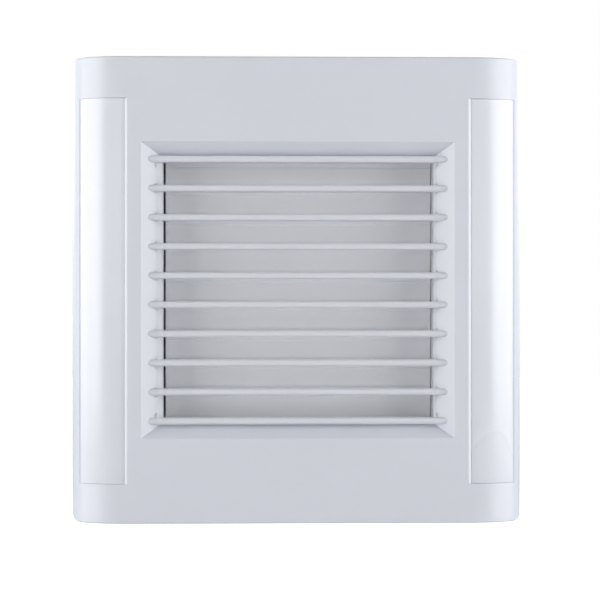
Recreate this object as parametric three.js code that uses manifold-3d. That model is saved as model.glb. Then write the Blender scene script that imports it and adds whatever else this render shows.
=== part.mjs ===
// A window exhaust fan: a square indoor body with a louvred front and a thermally driven shutter,
// a round duct collar that passes through the window with a motor and impeller inside it, and an
// outdoor frame with rain louvres that clamps the pane.
// Millimetres. +X is right and +Z up as seen from the room, and the room is on the -Y side.
// The origin is the centre of the round hole in the pane, on the pane's indoor face.
import * as THREE from "three";
import { mergeVertices } from "three/addons/utils/BufferGeometryUtils.js";
import Module from "manifold-3d";

const wasm = await Module();
wasm.setup();

// ---- Driving dimensions ----

// A gap that two touching pieces keep.
const GAP = 0.3;

// Front cover: a flat face whose left and right edges curve back as a quarter ellipse.
const COVER = {
  width: 206, height: 211.6, front: -46, back: -17.3, wall: 2.2, topCorner: 2.5, lowCorner: 4,
};
const CURVE = { width: 25, depth: 20, steps: 8 };

// Side trims: curved strips let into the cover between its upper and lower bands.
const TRIM = { inner: 78.3, outer: 98.8, halfHeight: 87.4, sunk: 0.9, thick: 1.8, chamfer: 0.9 };
const RECESS = { depth: 3.2, floor: 2.2 };

// Funnel: the bevelled opening in the face, and the straight throat behind the bevel.
const FUNNEL = {
  frontX: 71.3, frontZ: 67.2, throatX: 64.2, throatZ: 61.5, bevel: 8.3, depth: 14, wall: 2.2,
};

// Louvre bars, which share their pitch with the shutter blades behind them.
const BARS = { count: 10, pitch: 13.22, thick: 3.05, nose: 3.1, back: -33.5, railInner: 61.7 };
const HOOK = { reach: 1.2, length: 8, thick: 1.4, spacing: 45 };

// Shutter: blades hinged along their top edges, cranked outside the frame's left wall.
const BLADE = { axisY: -26, left: -60.3, right: 61.3, barrel: 1.5, thick: 1.2, overlap: 1, lean: 2.4 };
const PIN = { radius: 1.1, hole: 1.45, rightEnd: 64.2 };
const CRANK = { radius: 6, restDeg: -37.5, inner: -67, outer: -68.3, half: 1.8, pin: 0.9, pinEnd: -71.1 };
const SHUTTER = {
  wallX: 61.9, wall: 2.5, wallZ: 62.4, front: -29.7, back: -14, lipZ: 61.2, lip: 1.5, mouth: 1.9,
};
const LUG = { halfDepth: 4, wall: 2.2 };
const ROD = { inner: -68.75, outer: -70.55, half: 2.2, end: 3, hole: 1.25 };
const SHUTTER_SCREW = { x: 56, z: 72, ear: 5, earFront: -18.8, earBack: -16.3, hole: 1.9, boss: 4 };

// Thermal actuator under the tie rod, with its return spring over the rod.
const ACTUATOR = {
  x: -69.65, y: -20.6, radius: 7, low: -96, high: -66, neck: 4, neckTop: -62, bore: 1.9,
  boreLow: -81,
};
const PLUG = { end: -59, half: 3.5, low: -94, high: -86 };
const CRADLE = { out: 9, in: 7.5, front: -18, low: -82, high: -72 };
const PLUNGER = { radius: 1.5, head: 2.3, headThick: 2 };
const SPRING = { coil: 2.6, wire: 0.4, turns: 7, stepsPerTurn: 8, sides: 5, seat: 75.3 };

// Housing: a shallow tray behind the cover, screwed to the cover and clamped to the pane.
const TRAY = {
  inset: 0.1, back: -3.3, floor: -6, front: -17, wall: 2.6, lipFront: -24, lip: 2, corner: 3,
  hole: 62.4,
};
const TRAY_HOLES = { clamp: 2.4, screw: 1.9, pilot: 1.8 };
const COVER_SCREW = { x: 88.5, z: 60, seat: -37, cup: 5.5, cupBore: 4, boss: 4 };

// Pane: the thickness the fan is drawn clamped to, and the seals either side of it.
const PANE = { thick: 6 };
const GASKET = { inner: 77, outer: 92, thick: 3 };
const CLAMP = { radius: 69, boss: 4.2, bossEnd: 22, tip: 18 };

// Duct collar, with the spider arms and the motor cup moulded in it.
const COLLAR = {
  bore: 60, wall: 2, flange: 64.3, flangeThick: 2.3, end: 50, ear: 4.5, boss: 3.6, bossEnd: 2,
};
const ARMS = { count: 4, firstDeg: -62, thick: 3, front: 30, back: 40 };
const CUP = {
  outer: 29, wall: 2, front: 19, back: 46, boss: 7.5, capThick: 2.2, screwRadius: 24.6,
  screwBoss: 3, lip: 1.6,
};

// Motor and impeller.
const SHAFT = { radius: 2, front: -4.4, back: 47.2 };
const BEARING = { radius: 5, length: 5.5, front: 20.2, rear: 40.6 };
const STATOR = { outer: 26.7, ring: 20, bore: 12.2, front: 28, back: 40, tooth: 8 };
const COIL = { inner: 13.5, outer: 18, half: 7.5, overhang: 3 };
const ROTOR = { radius: 11.6, front: 27, back: 40.3 };
const IMPELLER = {
  hub: 20, tip: 58.6, blades: 7, front: -1, back: 16.5, wall: 1.8, rootDeg: 48, tipDeg: 27,
};

// Outdoor frame and rain louvres.
const FRAME = {
  size: 196, corner: 14, thick: 3, hole: 66.5, hood: 156, hoodWall: 2.3, hoodCorner: 8, end: 64,
};
const SLATS = { count: 8, pitch: 17, length: 13, thick: 1.8, tiltDeg: 40, y: 57.5 };
const SLAT_RAIL = { thick: 2.4, front: 52, back: 63, corner: 5.5 };

// Wiring.
const TERMINAL = { left: 64, right: 92, low: -92, high: -78, front: -16, cover: 1.3, room: 1 };
const INLET = { x: 70, y: -10.2, hole: 4.6, bore: 3.2, flange: 5.9, flangeThick: 1.3 };
const LEAD = { radius: 1.3, sides: 6, hole: 2, wayThrough: 3.6, holeRadius: 71, y: 42.2 };

const HOLE = 10; // sides of a screw hole or a thin shank
const ROUND = 16; // sides of a small round piece
const MIDDLE = 24; // sides of a motor-sized round piece
const BIG_ROUND = 40; // sides of a duct-sized round piece

// ---- Solids ----

// A closed three.js geometry as a solid, with its faces turned outwards.
function solid(geometry) {
  const bare = new THREE.BufferGeometry();
  bare.setAttribute("position", geometry.getAttribute("position").clone());
  if (geometry.index) bare.setIndex(geometry.index.clone());
  const merged = mergeVertices(bare, 1e-4);
  const corners = merged.index.array;
  const triangles = [];
  for (let i = 0; i < corners.length; i += 3) {
    const [a, b, c] = corners.slice(i, i + 3);
    if (a !== b && b !== c && c !== a) triangles.push(a, b, c);
  }
  const build = (order) => {
    const vertProperties = new Float32Array(merged.attributes.position.array);
    return new wasm.Manifold(new wasm.Mesh({ numProp: 3, vertProperties, triVerts: new Uint32Array(order) }));
  };
  const made = build(triangles);
  return made.volume() >= 0 ? made : build(triangles.reverse());
}

// A solid back as a three.js geometry with flat-shaded faces.
function geometryOf(shape) {
  const { numProp, numVert, vertProperties, triVerts } = shape.getMesh();
  const places = new Float32Array(numVert * 3);
  for (let i = 0; i < numVert; i += 1) {
    places.set(vertProperties.subarray(i * numProp, i * numProp + 3), i * 3);
  }
  const indexed = new THREE.BufferGeometry();
  indexed.setAttribute("position", new THREE.BufferAttribute(places, 3));
  indexed.setIndex(new THREE.BufferAttribute(new Uint32Array(triVerts), 1));
  const geometry = indexed.toNonIndexed();
  geometry.computeVertexNormals();
  return geometry;
}

const join = (...shapes) => shapes.reduce((whole, shape) => whole.add(shape));
const cut = (shape, ...tools) => tools.reduce((rest, tool) => rest.subtract(tool), shape);

function box([x0, x1], [y0, y1], [z0, z1]) {
  const geometry = new THREE.BoxGeometry(x1 - x0, y1 - y0, z1 - z0);
  geometry.translate((x0 + x1) / 2, (y0 + y1) / 2, (z0 + z1) / 2);
  return solid(geometry);
}

// A round bar along X, Y or Z, given the two coordinates of its axis in X, Y, Z order.
function bar(axis, [a, b], radius, from, to, sides = ROUND) {
  const geometry = new THREE.CylinderGeometry(radius, radius, to - from, sides);
  geometry.translate(0, (from + to) / 2, 0);
  if (axis === "x") geometry.rotateZ(-Math.PI / 2).translate(0, a, b);
  if (axis === "y") geometry.translate(a, 0, b);
  if (axis === "z") geometry.rotateX(Math.PI / 2).translate(a, b, 0);
  return solid(geometry);
}

// A profile of [radius, y] points turned about the Y axis.
function turned(profile, sides = ROUND) {
  const points = profile.map(([radius, y]) => new THREE.Vector2(radius, y));
  if (profile[0][0] > 0) points.push(points[0].clone());
  return solid(new THREE.LatheGeometry(points, sides));
}

function ring(inner, outer, from, to, sides = ROUND) {
  return turned([[inner, from], [outer, from], [outer, to], [inner, to]], sides);
}

// An outline of [x, y] points carried along Z.
function alongZ(outline, from, to) {
  const shape = new THREE.Shape(outline.map(([x, y]) => new THREE.Vector2(x, y)));
  const geometry = new THREE.ExtrudeGeometry(shape, { depth: to - from, bevelEnabled: false });
  return solid(geometry.translate(0, 0, from));
}

// A shape drawn in X and Z, carried along Y.
function alongY(shape, from, to, curveSegments = 6) {
  const geometry = new THREE.ExtrudeGeometry(shape, { depth: to - from, bevelEnabled: false, curveSegments });
  return solid(geometry.rotateX(Math.PI / 2).translate(0, to, 0));
}

// A shape drawn in Y and Z, carried along X.
function alongX(shape, from, to, curveSegments = 8) {
  const geometry = new THREE.ExtrudeGeometry(shape, { depth: to - from, bevelEnabled: false, curveSegments });
  geometry.applyMatrix4(new THREE.Matrix4().set(0, 0, 1, from, 1, 0, 0, 0, 0, 1, 0, 0, 0, 0, 0, 1));
  return solid(geometry);
}

// A rectangle with rounded corners, centred on the origin.
function roundedRectangle(width, height, lowCorner, topCorner = lowCorner) {
  const [x, z] = [width / 2, height / 2];
  const quarter = Math.PI / 2;
  const shape = new THREE.Shape();
  shape.absarc(-x + lowCorner, -z + lowCorner, lowCorner, 2 * quarter, 3 * quarter);
  shape.absarc(x - lowCorner, -z + lowCorner, lowCorner, 3 * quarter, 4 * quarter);
  shape.absarc(x - topCorner, z - topCorner, topCorner, 0, quarter);
  shape.absarc(-x + topCorner, z - topCorner, topCorner, quarter, 2 * quarter);
  return shape;
}

// A closed skin over rings of points, each ring with the same count, capped at both ends.
function loft(rings) {
  const count = rings[0].length;
  const places = rings.flat(2);
  const faces = [];
  for (let i = 0; i + 1 < rings.length; i += 1) {
    for (let j = 0; j < count; j += 1) {
      const [a, b] = [i * count + j, i * count + ((j + 1) % count)];
      faces.push(a, b, b + count, a, b + count, a + count);
    }
  }
  const last = (rings.length - 1) * count;
  for (let j = 1; j + 1 < count; j += 1) {
    faces.push(0, j + 1, j, last, last + j, last + j + 1);
  }
  const geometry = new THREE.BufferGeometry();
  geometry.setAttribute("position", new THREE.Float32BufferAttribute(places, 3));
  geometry.setIndex(faces);
  return solid(geometry);
}

function rectangleAt(y, halfX, halfZ) {
  return [[-halfX, y, -halfZ], [halfX, y, -halfZ], [halfX, y, halfZ], [-halfX, y, halfZ]];
}

// A lead along a smooth curve through the given points.
function leadAlong(points) {
  const curve = new THREE.CatmullRomCurve3(points.map((p) => new THREE.Vector3(...p)), false, "centripetal");
  const section = new THREE.Shape();
  section.absarc(0, 0, LEAD.radius, 0, 2 * Math.PI);
  const options = { extrudePath: curve, steps: 32, curveSegments: LEAD.sides / 2, bevelEnabled: false };
  return solid(new THREE.ExtrudeGeometry(section, options));
}

const spun = (shape, degrees) => shape.rotate([0, degrees, 0]);
const polar = (radius, degrees) => {
  const angle = THREE.MathUtils.degToRad(degrees);
  return [radius * Math.cos(angle), radius * Math.sin(angle)];
};

// ---- Places that more than one piece uses ----

const bladeAxisZ = Array.from({ length: BARS.count - 1 }, (_, i) => ((BARS.count - 1) / 2 - i) * BARS.pitch);
const crankRest = polar(CRANK.radius, CRANK.restDeg);
const clampPlaces = [45, 135, 225, 315].map((degrees) => polar(CLAMP.radius, degrees));
const collarScrewPlaces = [90, 210, 330].map((degrees) => polar(CLAMP.radius, degrees));
const fourPlaces = ({ x, z }) => [[x, z], [x, -z], [-x, z], [-x, -z]];
const shutterScrewPlaces = fourPlaces(SHUTTER_SCREW);
const coverScrewPlaces = fourPlaces(COVER_SCREW);
const capScrewPlaces = [28, 208].map((degrees) => polar(CUP.screwRadius, degrees));
const leadHole = polar(LEAD.holeRadius, ARMS.firstDeg);

// ---- Front cover, trims and louvre grille ----

// The body's plan outline, sunk by a distance from its outer surface.
function planOutline(sunk) {
  const [centreX, centreY] = [COVER.width / 2 - CURVE.width, COVER.front + CURVE.depth];
  const right = [];
  for (let i = 0; i <= CURVE.steps; i += 1) {
    const turn = (i / CURVE.steps) * (Math.PI / 2);
    const normal = new THREE.Vector2(Math.sin(turn) / CURVE.width, -Math.cos(turn) / CURVE.depth).normalize();
    right.push([
      centreX + CURVE.width * Math.sin(turn) - sunk * normal.x,
      centreY - CURVE.depth * Math.cos(turn) - sunk * normal.y,
    ]);
  }
  right.push([COVER.width / 2 - sunk, COVER.back]);
  const left = right.map(([x, y]) => [-x, y]).reverse();
  return [...right, ...left];
}

const planBody = (sunk, halfHeight) => alongZ(planOutline(sunk), -halfHeight, halfHeight);

// The part of the layer between two depths that lies in one column.
function columnLayer(side, near, far, [inner, outer], halfHeight, backmost = COVER.back) {
  const layer = cut(planBody(near, halfHeight), planBody(far, halfHeight + 1));
  const reach = [side * inner, side * outer].sort((a, b) => a - b);
  return layer.intersect(box(reach, [COVER.front - 2, backmost], [-halfHeight, halfHeight]));
}

// The space inside the funnel, shrunk or grown all round.
function funnelSpace(grown, front = COVER.front - 1) {
  const bevelEnd = COVER.front + FUNNEL.bevel;
  const slopeX = (FUNNEL.frontX - FUNNEL.throatX) / FUNNEL.bevel;
  const slopeZ = (FUNNEL.frontZ - FUNNEL.throatZ) / FUNNEL.bevel;
  const ahead = COVER.front - front;
  return loft([
    rectangleAt(front, FUNNEL.frontX + slopeX * ahead + grown, FUNNEL.frontZ + slopeZ * ahead + grown),
    rectangleAt(bevelEnd, FUNNEL.throatX + grown, FUNNEL.throatZ + grown),
    rectangleAt(COVER.front + FUNNEL.depth, FUNNEL.throatX + grown, FUNNEL.throatZ + grown),
  ]);
}

function frontCover() {
  const half = COVER.height / 2;
  const outline = roundedRectangle(COVER.width, COVER.height, COVER.lowCorner, COVER.topCorner);
  const outside = planBody(0, half).intersect(alongY(outline, COVER.front - 1, COVER.back + 1));
  let cover = cut(outside, planBody(COVER.wall, half - COVER.wall).translate([0, 0.01, 0]));
  const deep = RECESS.depth + RECESS.floor;
  const columnBack = COVER.front + CURVE.depth - 3;
  for (const side of [-1, 1]) {
    const across = [TRIM.inner - RECESS.floor, TRIM.outer + RECESS.floor];
    cover = join(cover, columnLayer(side, 0.1, deep, across, TRIM.halfHeight + RECESS.floor, columnBack));
  }
  for (const [x, z] of coverScrewPlaces) {
    const cup = bar("y", [x, z], COVER_SCREW.cup, COVER.front + 3, COVER_SCREW.seat + 2);
    cover = join(cover, cup.intersect(planBody(RECESS.depth - 0.5, half)));
  }
  for (const side of [-1, 1]) {
    cover = cut(cover, columnLayer(side, -1, RECESS.depth, [TRIM.inner, TRIM.outer], TRIM.halfHeight));
    const edge = side * TRIM.inner;
    const front = COVER.front;
    const corner = [
      [edge - side * TRIM.chamfer, front],
      [edge - side * TRIM.chamfer, front - 1],
      [edge + side * 0.2, front - 1],
      [edge + side * 0.2, front + TRIM.chamfer],
      [edge, front + TRIM.chamfer],
    ];
    cover = cut(cover, alongZ(corner, -TRIM.halfHeight, TRIM.halfHeight));
  }
  for (const [x, z] of coverScrewPlaces) {
    cover = cut(
      cover,
      bar("y", [x, z], COVER_SCREW.cupBore, COVER.front - 1, COVER_SCREW.seat),
      bar("y", [x, z], 2, COVER.front, COVER_SCREW.seat + 3, HOLE),
    );
  }
  cover = join(cover, funnelSpace(FUNNEL.wall, COVER.front));
  return cut(cover, funnelSpace(0), funnelSpace(0).translate([0, 1, 0]));
}

function sideTrim(side) {
  const across = [TRIM.inner + GAP, TRIM.outer - GAP];
  return columnLayer(side, TRIM.sunk, TRIM.sunk + TRIM.thick, across, TRIM.halfHeight - GAP);
}

// One round-nosed louvre bar, drawn in Y and Z and carried along X.
function louvreBar(z) {
  const [half, nose] = [BARS.thick / 2, COVER.front + BARS.nose];
  const shape = new THREE.Shape();
  shape.moveTo(BARS.back, z - half);
  shape.lineTo(BARS.back, z + half);
  shape.lineTo(nose + half, z + half);
  shape.absarc(nose + half, z, half, Math.PI / 2, (3 * Math.PI) / 2);
  return alongX(shape, -FUNNEL.frontX, FUNNEL.frontX, 5);
}

function louvreGrille() {
  const first = ((BARS.count - 1) / 2) * BARS.pitch;
  const throatEnd = COVER.front + FUNNEL.depth;
  const [bevelEnd, outer] = [COVER.front + FUNNEL.bevel, FUNNEL.throatX - GAP];
  let grille = louvreBar(first);
  for (let i = 1; i < BARS.count; i += 1) grille = join(grille, louvreBar(first - i * BARS.pitch));
  grille = grille.intersect(funnelSpace(-GAP));
  const hookFront = throatEnd + GAP;
  const railBack = hookFront + HOOK.thick;
  for (const side of [-1, 1]) {
    const reach = (a, b) => [side * a, side * b].sort((p, q) => p - q);
    const tall = first + BARS.thick / 2;
    grille = join(grille, box(reach(BARS.railInner, outer), [bevelEnd, railBack], [-tall, tall]));
    for (const z of [-HOOK.spacing, 0, HOOK.spacing]) {
      const length = [z - HOOK.length / 2, z + HOOK.length / 2];
      const out = reach(outer - 0.5, FUNNEL.throatX + HOOK.reach);
      grille = join(grille, box(out, [hookFront, railBack], length));
    }
  }
  return grille;
}

// ---- Shutter ----

function shutterBlade(z) {
  const length = Math.hypot(BARS.pitch, BLADE.lean) + BLADE.overlap;
  const tilt = Math.atan2(BLADE.lean, BARS.pitch);
  const plate = new THREE.BoxGeometry(BLADE.right - BLADE.left, BLADE.thick, length);
  plate.translate((BLADE.left + BLADE.right) / 2, 0, -length / 2);
  plate.rotateX(tilt).translate(0, BLADE.axisY, z);
  const arm = new THREE.Shape();
  const along = THREE.MathUtils.degToRad(CRANK.restDeg);
  const quarter = Math.PI / 2;
  arm.absarc(0, 0, CRANK.half, along + quarter, along + 3 * quarter);
  arm.absarc(crankRest[0], crankRest[1], CRANK.half, along - quarter, along + quarter);
  const pinAt = [BLADE.axisY + crankRest[0], z + crankRest[1]];
  return join(
    bar("x", [BLADE.axisY, z], BLADE.barrel, BLADE.left, BLADE.right, MIDDLE / 2),
    solid(plate),
    bar("x", [BLADE.axisY, z], PIN.radius, CRANK.inner - 0.1, BLADE.left + 0.1, HOLE),
    bar("x", [BLADE.axisY, z], PIN.radius, BLADE.right - 0.1, PIN.rightEnd, HOLE),
    alongX(arm, CRANK.outer, CRANK.inner, 4).translate([0, BLADE.axisY, z]),
    bar("x", pinAt, CRANK.pin, CRANK.pinEnd, CRANK.outer + 0.1, HOLE),
  );
}

function shutterFrame() {
  const [x, z, wall] = [SHUTTER.wallX, SHUTTER.wallZ, SHUTTER.wall];
  const deep = [SHUTTER.front, SHUTTER.back];
  let frame = cut(
    box([-x - wall, x + wall], deep, [-z - wall, z + wall]),
    box([-x, x], [SHUTTER.front - 1, SHUTTER.back + 1], [-z, z]),
  );
  for (const side of [-1, 1]) {
    const lip = [side * SHUTTER.lipZ, side * (z + 0.5)].sort((a, b) => a - b);
    frame = join(frame, box([-x - 0.5, x + 0.5], [SHUTTER.front, SHUTTER.front + SHUTTER.lip], lip));
  }
  for (const [ex, ez] of shutterScrewPlaces) {
    const { ear, earFront, earBack } = SHUTTER_SCREW;
    const strip = [Math.sign(ez) * (z + 0.5), ez].sort((a, b) => a - b);
    const tab = box([ex - ear, ex + ear], [earFront, earBack], strip);
    frame = join(frame, tab, bar("y", [ex, ez], ear, earFront, earBack));
  }
  frame = join(frame, springLug());
  for (const bladeZ of bladeAxisZ) {
    const axis = [BLADE.axisY, bladeZ];
    frame = cut(
      frame,
      bar("x", axis, PIN.hole, x - 0.5, x + wall + 1, HOLE),
      bar("x", axis, PIN.hole, -x - wall - 1, -x + 0.5, HOLE),
      box(
        [-x - wall - 1, -x + 0.5],
        [BLADE.axisY, SHUTTER.back + 1],
        [bladeZ - SHUTTER.mouth / 2, bladeZ + SHUTTER.mouth / 2],
      ),
    );
  }
  const { hole, earFront, earBack } = SHUTTER_SCREW;
  for (const place of shutterScrewPlaces) {
    frame = cut(frame, bar("y", place, hole, earFront - 1, earBack + 1, HOLE));
  }
  return frame;
}

// The tab over the tie rod that the return spring pushes against.
function springLug() {
  const [x, z, wall] = [SHUTTER.wallX, SHUTTER.wallZ, SHUTTER.wall];
  const deep = [ACTUATOR.y - LUG.halfDepth, ACTUATOR.y + LUG.halfDepth];
  const top = [SPRING.seat, SPRING.seat + LUG.wall];
  const out = -x - wall;
  return join(
    box([out - LUG.wall, -x], deep, [z, z + wall]),
    box([out - LUG.wall, out], deep, [z, top[1]]),
    box([ACTUATOR.x - LUG.halfDepth, out], deep, top),
  );
}

function tieRod() {
  const y = BLADE.axisY + crankRest[0];
  const [top, low] = [bladeAxisZ[0] + crankRest[1] + ROD.end, bladeAxisZ.at(-1) + crankRest[1] - ROD.end];
  const pinHole = (z) => bar("x", [y, z + crankRest[1]], ROD.hole, ROD.outer - 1, ROD.inner + 1, HOLE);
  const holes = bladeAxisZ.map(pinHole);
  return cut(box([ROD.outer, ROD.inner], [y - ROD.half, y + ROD.half], [low, top]), ...holes);
}

const rodLow = bladeAxisZ.at(-1) + crankRest[1] - ROD.end;
const rodTop = bladeAxisZ[0] + crankRest[1] + ROD.end;

function actuatorBody() {
  const axis = [ACTUATOR.x, ACTUATOR.y];
  const plugDeep = [ACTUATOR.y - PLUG.half, ACTUATOR.y + PLUG.half];
  return cut(
    join(
      bar("z", axis, ACTUATOR.radius, ACTUATOR.low, ACTUATOR.high),
      bar("z", axis, ACTUATOR.neck, ACTUATOR.high - 1, ACTUATOR.neckTop),
      box([ACTUATOR.x + 4, PLUG.end], plugDeep, [PLUG.low, PLUG.high]),
    ),
    bar("z", axis, ACTUATOR.bore, ACTUATOR.boreLow, ACTUATOR.neckTop + 1),
  );
}

function actuatorPlunger() {
  const axis = [ACTUATOR.x, ACTUATOR.y];
  const top = rodLow - GAP;
  return join(
    bar("z", axis, PLUNGER.radius, ACTUATOR.boreLow + 1, top - PLUNGER.headThick + 0.1, 12),
    bar("z", axis, PLUNGER.head, top - PLUNGER.headThick, top),
  );
}

// A helix of round wire between the tie rod and the lug over it.
function returnSpring() {
  const [low, high] = [rodTop + GAP + SPRING.wire, SPRING.seat - GAP - SPRING.wire];
  const steps = SPRING.turns * SPRING.stepsPerTurn;
  const rings = [];
  for (let i = 0; i <= steps; i += 1) {
    const turn = (i / SPRING.stepsPerTurn) * 2 * Math.PI;
    const [c, s] = [Math.cos(turn), Math.sin(turn)];
    const height = low + ((high - low) * i) / steps;
    rings.push(
      Array.from({ length: SPRING.sides }, (_, k) => {
        const around = (k / SPRING.sides) * 2 * Math.PI;
        const radius = SPRING.coil + SPRING.wire * Math.cos(around);
        return [ACTUATOR.x + radius * c, ACTUATOR.y + radius * s, height + SPRING.wire * Math.sin(around)];
      }),
    );
  }
  return loft(rings);
}

// ---- Housing tray, seals and outdoor frame ----

function housing() {
  const { back, floor, front, wall } = TRAY;
  const [w, h] = [COVER.width - 2 * TRAY.inset, COVER.height - 2 * TRAY.inset];
  const [lipX, lipZ] = [w / 2 - wall + 0.1, h / 2 - wall + 0.1];
  let tray = cut(
    alongY(roundedRectangle(w, h, TRAY.corner), front, back),
    box([-w / 2 + wall, w / 2 - wall], [front - 1, floor], [-h / 2 + wall, h / 2 - wall]),
  );
  const [insideX, insideZ] = [lipX - TRAY.lip, lipZ - TRAY.lip];
  const lip = cut(
    box([-lipX, lipX], [TRAY.lipFront, floor - 2], [-lipZ, lipZ]),
    box([-insideX, insideX], [TRAY.lipFront - 1, floor], [-insideZ, insideZ]),
  );
  tray = join(tray, lip);
  for (const place of coverScrewPlaces) {
    tray = join(tray, bar("y", place, COVER_SCREW.boss, COVER_SCREW.seat + 2 + GAP, floor + 0.5));
  }
  for (const place of shutterScrewPlaces) {
    tray = join(tray, bar("y", place, SHUTTER_SCREW.boss, SHUTTER_SCREW.earBack + GAP, floor + 0.5));
  }
  for (const place of collarScrewPlaces) {
    tray = join(tray, bar("y", place, COLLAR.boss, floor + 0.5, COLLAR.bossEnd));
  }
  const across = [ACTUATOR.x - CRADLE.out, ACTUATOR.x + CRADLE.in];
  tray = join(tray, box(across, [CRADLE.front, floor + 0.5], [CRADLE.low, CRADLE.high]));
  const hole = (radius, from, to) => (place) => bar("y", place, radius, from, to, HOLE);
  return cut(
    tray,
    bar("y", [0, 0], TRAY.hole, floor - 20, 4, BIG_ROUND),
    bar("z", [ACTUATOR.x, ACTUATOR.y], ACTUATOR.radius + GAP, CRADLE.low - 1, CRADLE.high + 1),
    bar("z", [INLET.x, INLET.y], INLET.hole, -h / 2 - 1, -h / 2 + wall + 3),
    bar("z", [INLET.x, INLET.y], INLET.flange + 0.5, -h / 2 + wall, -h / 2 + wall + 5),
    bar("y", leadHole, LEAD.wayThrough, floor - 1, 0, ROUND),
    ...clampPlaces.map(hole(TRAY_HOLES.clamp, floor - 1, 0)),
    ...collarScrewPlaces.map(hole(TRAY_HOLES.screw, floor - 1, COLLAR.bossEnd + 1)),
    ...shutterScrewPlaces.map(hole(TRAY_HOLES.pilot, front, floor - 1.5)),
    ...coverScrewPlaces.map(hole(TRAY_HOLES.screw, COVER_SCREW.seat + 1, front - 5)),
  );
}

function outdoorFrame() {
  const front = PANE.thick + GASKET.thick + GAP;
  const [hoodShape, boreShape] = [FRAME.hood, FRAME.hood - 2 * FRAME.hoodWall].map((size, i) =>
    roundedRectangle(size, size, FRAME.hoodCorner - i * FRAME.hoodWall),
  );
  const flange = alongY(roundedRectangle(FRAME.size, FRAME.size, FRAME.corner), front, front + FRAME.thick);
  const hood = cut(
    alongY(hoodShape, front + 0.5, FRAME.end),
    alongY(boreShape, front + FRAME.thick, FRAME.end + 1),
  );
  const bosses = clampPlaces.map((place) => bar("y", place, CLAMP.boss, front, CLAMP.bossEnd));
  return cut(
    join(cut(join(flange, hood), bar("y", [0, 0], FRAME.hole, front - 1, front + 8, BIG_ROUND)), ...bosses),
    bar("y", leadHole, LEAD.hole + 0.2, front - 1, front + 8, HOLE),
    ...clampPlaces.map((place) => bar("y", place, 2.3, front - 1, CLAMP.bossEnd - 2, HOLE)),
  );
}

function outdoorLouvre() {
  const inner = FRAME.hood / 2 - FRAME.hoodWall - GAP;
  const deep = [SLAT_RAIL.front, SLAT_RAIL.back];
  const reach = inner - SLAT_RAIL.thick;
  const through = [SLAT_RAIL.front - 2, SLAT_RAIL.back + 2];
  const opening = box([-reach, reach], through, [-reach, reach]);
  const rails = cut(box([-inner, inner], deep, [-inner, inner]), opening);
  let louvre = rails.intersect(alongY(roundedRectangle(2 * inner, 2 * inner, SLAT_RAIL.corner), ...through));
  for (let i = 0; i < SLATS.count; i += 1) {
    const z = ((SLATS.count - 1) / 2 - i) * SLATS.pitch;
    const slat = new THREE.BoxGeometry(2 * reach + 1, SLATS.length, SLATS.thick);
    slat.rotateX(THREE.MathUtils.degToRad(-SLATS.tiltDeg)).translate(0, SLATS.y, z);
    louvre = join(louvre, solid(slat));
  }
  return louvre;
}

// ---- Duct collar, motor and impeller ----

function ductCollar() {
  const outer = COLLAR.bore + COLLAR.wall;
  const flangeBack = TRAY.floor - GAP;
  const flangeFront = flangeBack - COLLAR.flangeThick;
  const cupBore = CUP.outer - CUP.wall;
  let collar = join(
    ring(COLLAR.bore, outer, flangeFront, COLLAR.end, BIG_ROUND),
    ring(COLLAR.bore, COLLAR.flange, flangeFront, flangeBack, BIG_ROUND),
    turned(
      [
        [BEARING.radius - CUP.lip, CUP.front],
        [CUP.outer, CUP.front],
        [CUP.outer, CUP.back],
        [cupBore, CUP.back],
        [cupBore, CUP.front + CUP.wall],
        [CUP.boss, CUP.front + CUP.wall],
        [CUP.boss, BEARING.front + BEARING.length],
        [BEARING.radius + GAP, BEARING.front + BEARING.length],
        [BEARING.radius + GAP, CUP.front + 1],
        [BEARING.radius - CUP.lip, CUP.front + 1],
      ],
      MIDDLE,
    ),
  );
  for (let i = 0; i < ARMS.count; i += 1) {
    const [out, half] = [[CUP.outer - 1, COLLAR.bore + 1], ARMS.thick / 2];
    const arm = box(out, [ARMS.front, ARMS.back], [-half, half]);
    collar = join(collar, spun(arm, -ARMS.firstDeg + (360 / ARMS.count) * i));
  }
  for (const [x, z] of collarScrewPlaces) {
    const ear = bar("y", [x, z], COLLAR.ear, flangeFront, flangeBack);
    const neck = box([COLLAR.bore + 1, CLAMP.radius], [flangeFront, flangeBack], [-COLLAR.ear, COLLAR.ear]);
    collar = join(collar, ear, spun(neck, -THREE.MathUtils.radToDeg(Math.atan2(z, x))));
  }
  for (const place of capScrewPlaces) {
    collar = join(collar, bar("y", place, CUP.screwBoss, STATOR.back + 0.5, CUP.back));
  }
  const leadWay = spun(bar("x", [LEAD.y, 0], LEAD.hole, 24, outer + 2, HOLE), -ARMS.firstDeg);
  return cut(
    collar,
    leadWay,
    ...collarScrewPlaces.map((place) => bar("y", place, 2, flangeFront - 1, flangeBack + 1, HOLE)),
    ...capScrewPlaces.map((place) => bar("y", place, 1.5, STATOR.back + 1, CUP.back + 1, HOLE)),
  );
}

function motorEndCap() {
  const front = CUP.back + GAP;
  const rear = BEARING.rear;
  const cap = turned(
    [
      [SHAFT.radius + 1.2, front],
      [SHAFT.radius + 1.2, front + CUP.capThick],
      [CUP.outer, front + CUP.capThick],
      [CUP.outer, front],
      [CUP.boss, front],
      [CUP.boss, rear],
      [BEARING.radius + GAP, rear],
      [BEARING.radius + GAP, front],
    ],
    MIDDLE,
  );
  return cut(cap, ...capScrewPlaces.map((place) => bar("y", place, 1.6, front - 1, front + 4, HOLE)));
}

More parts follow.
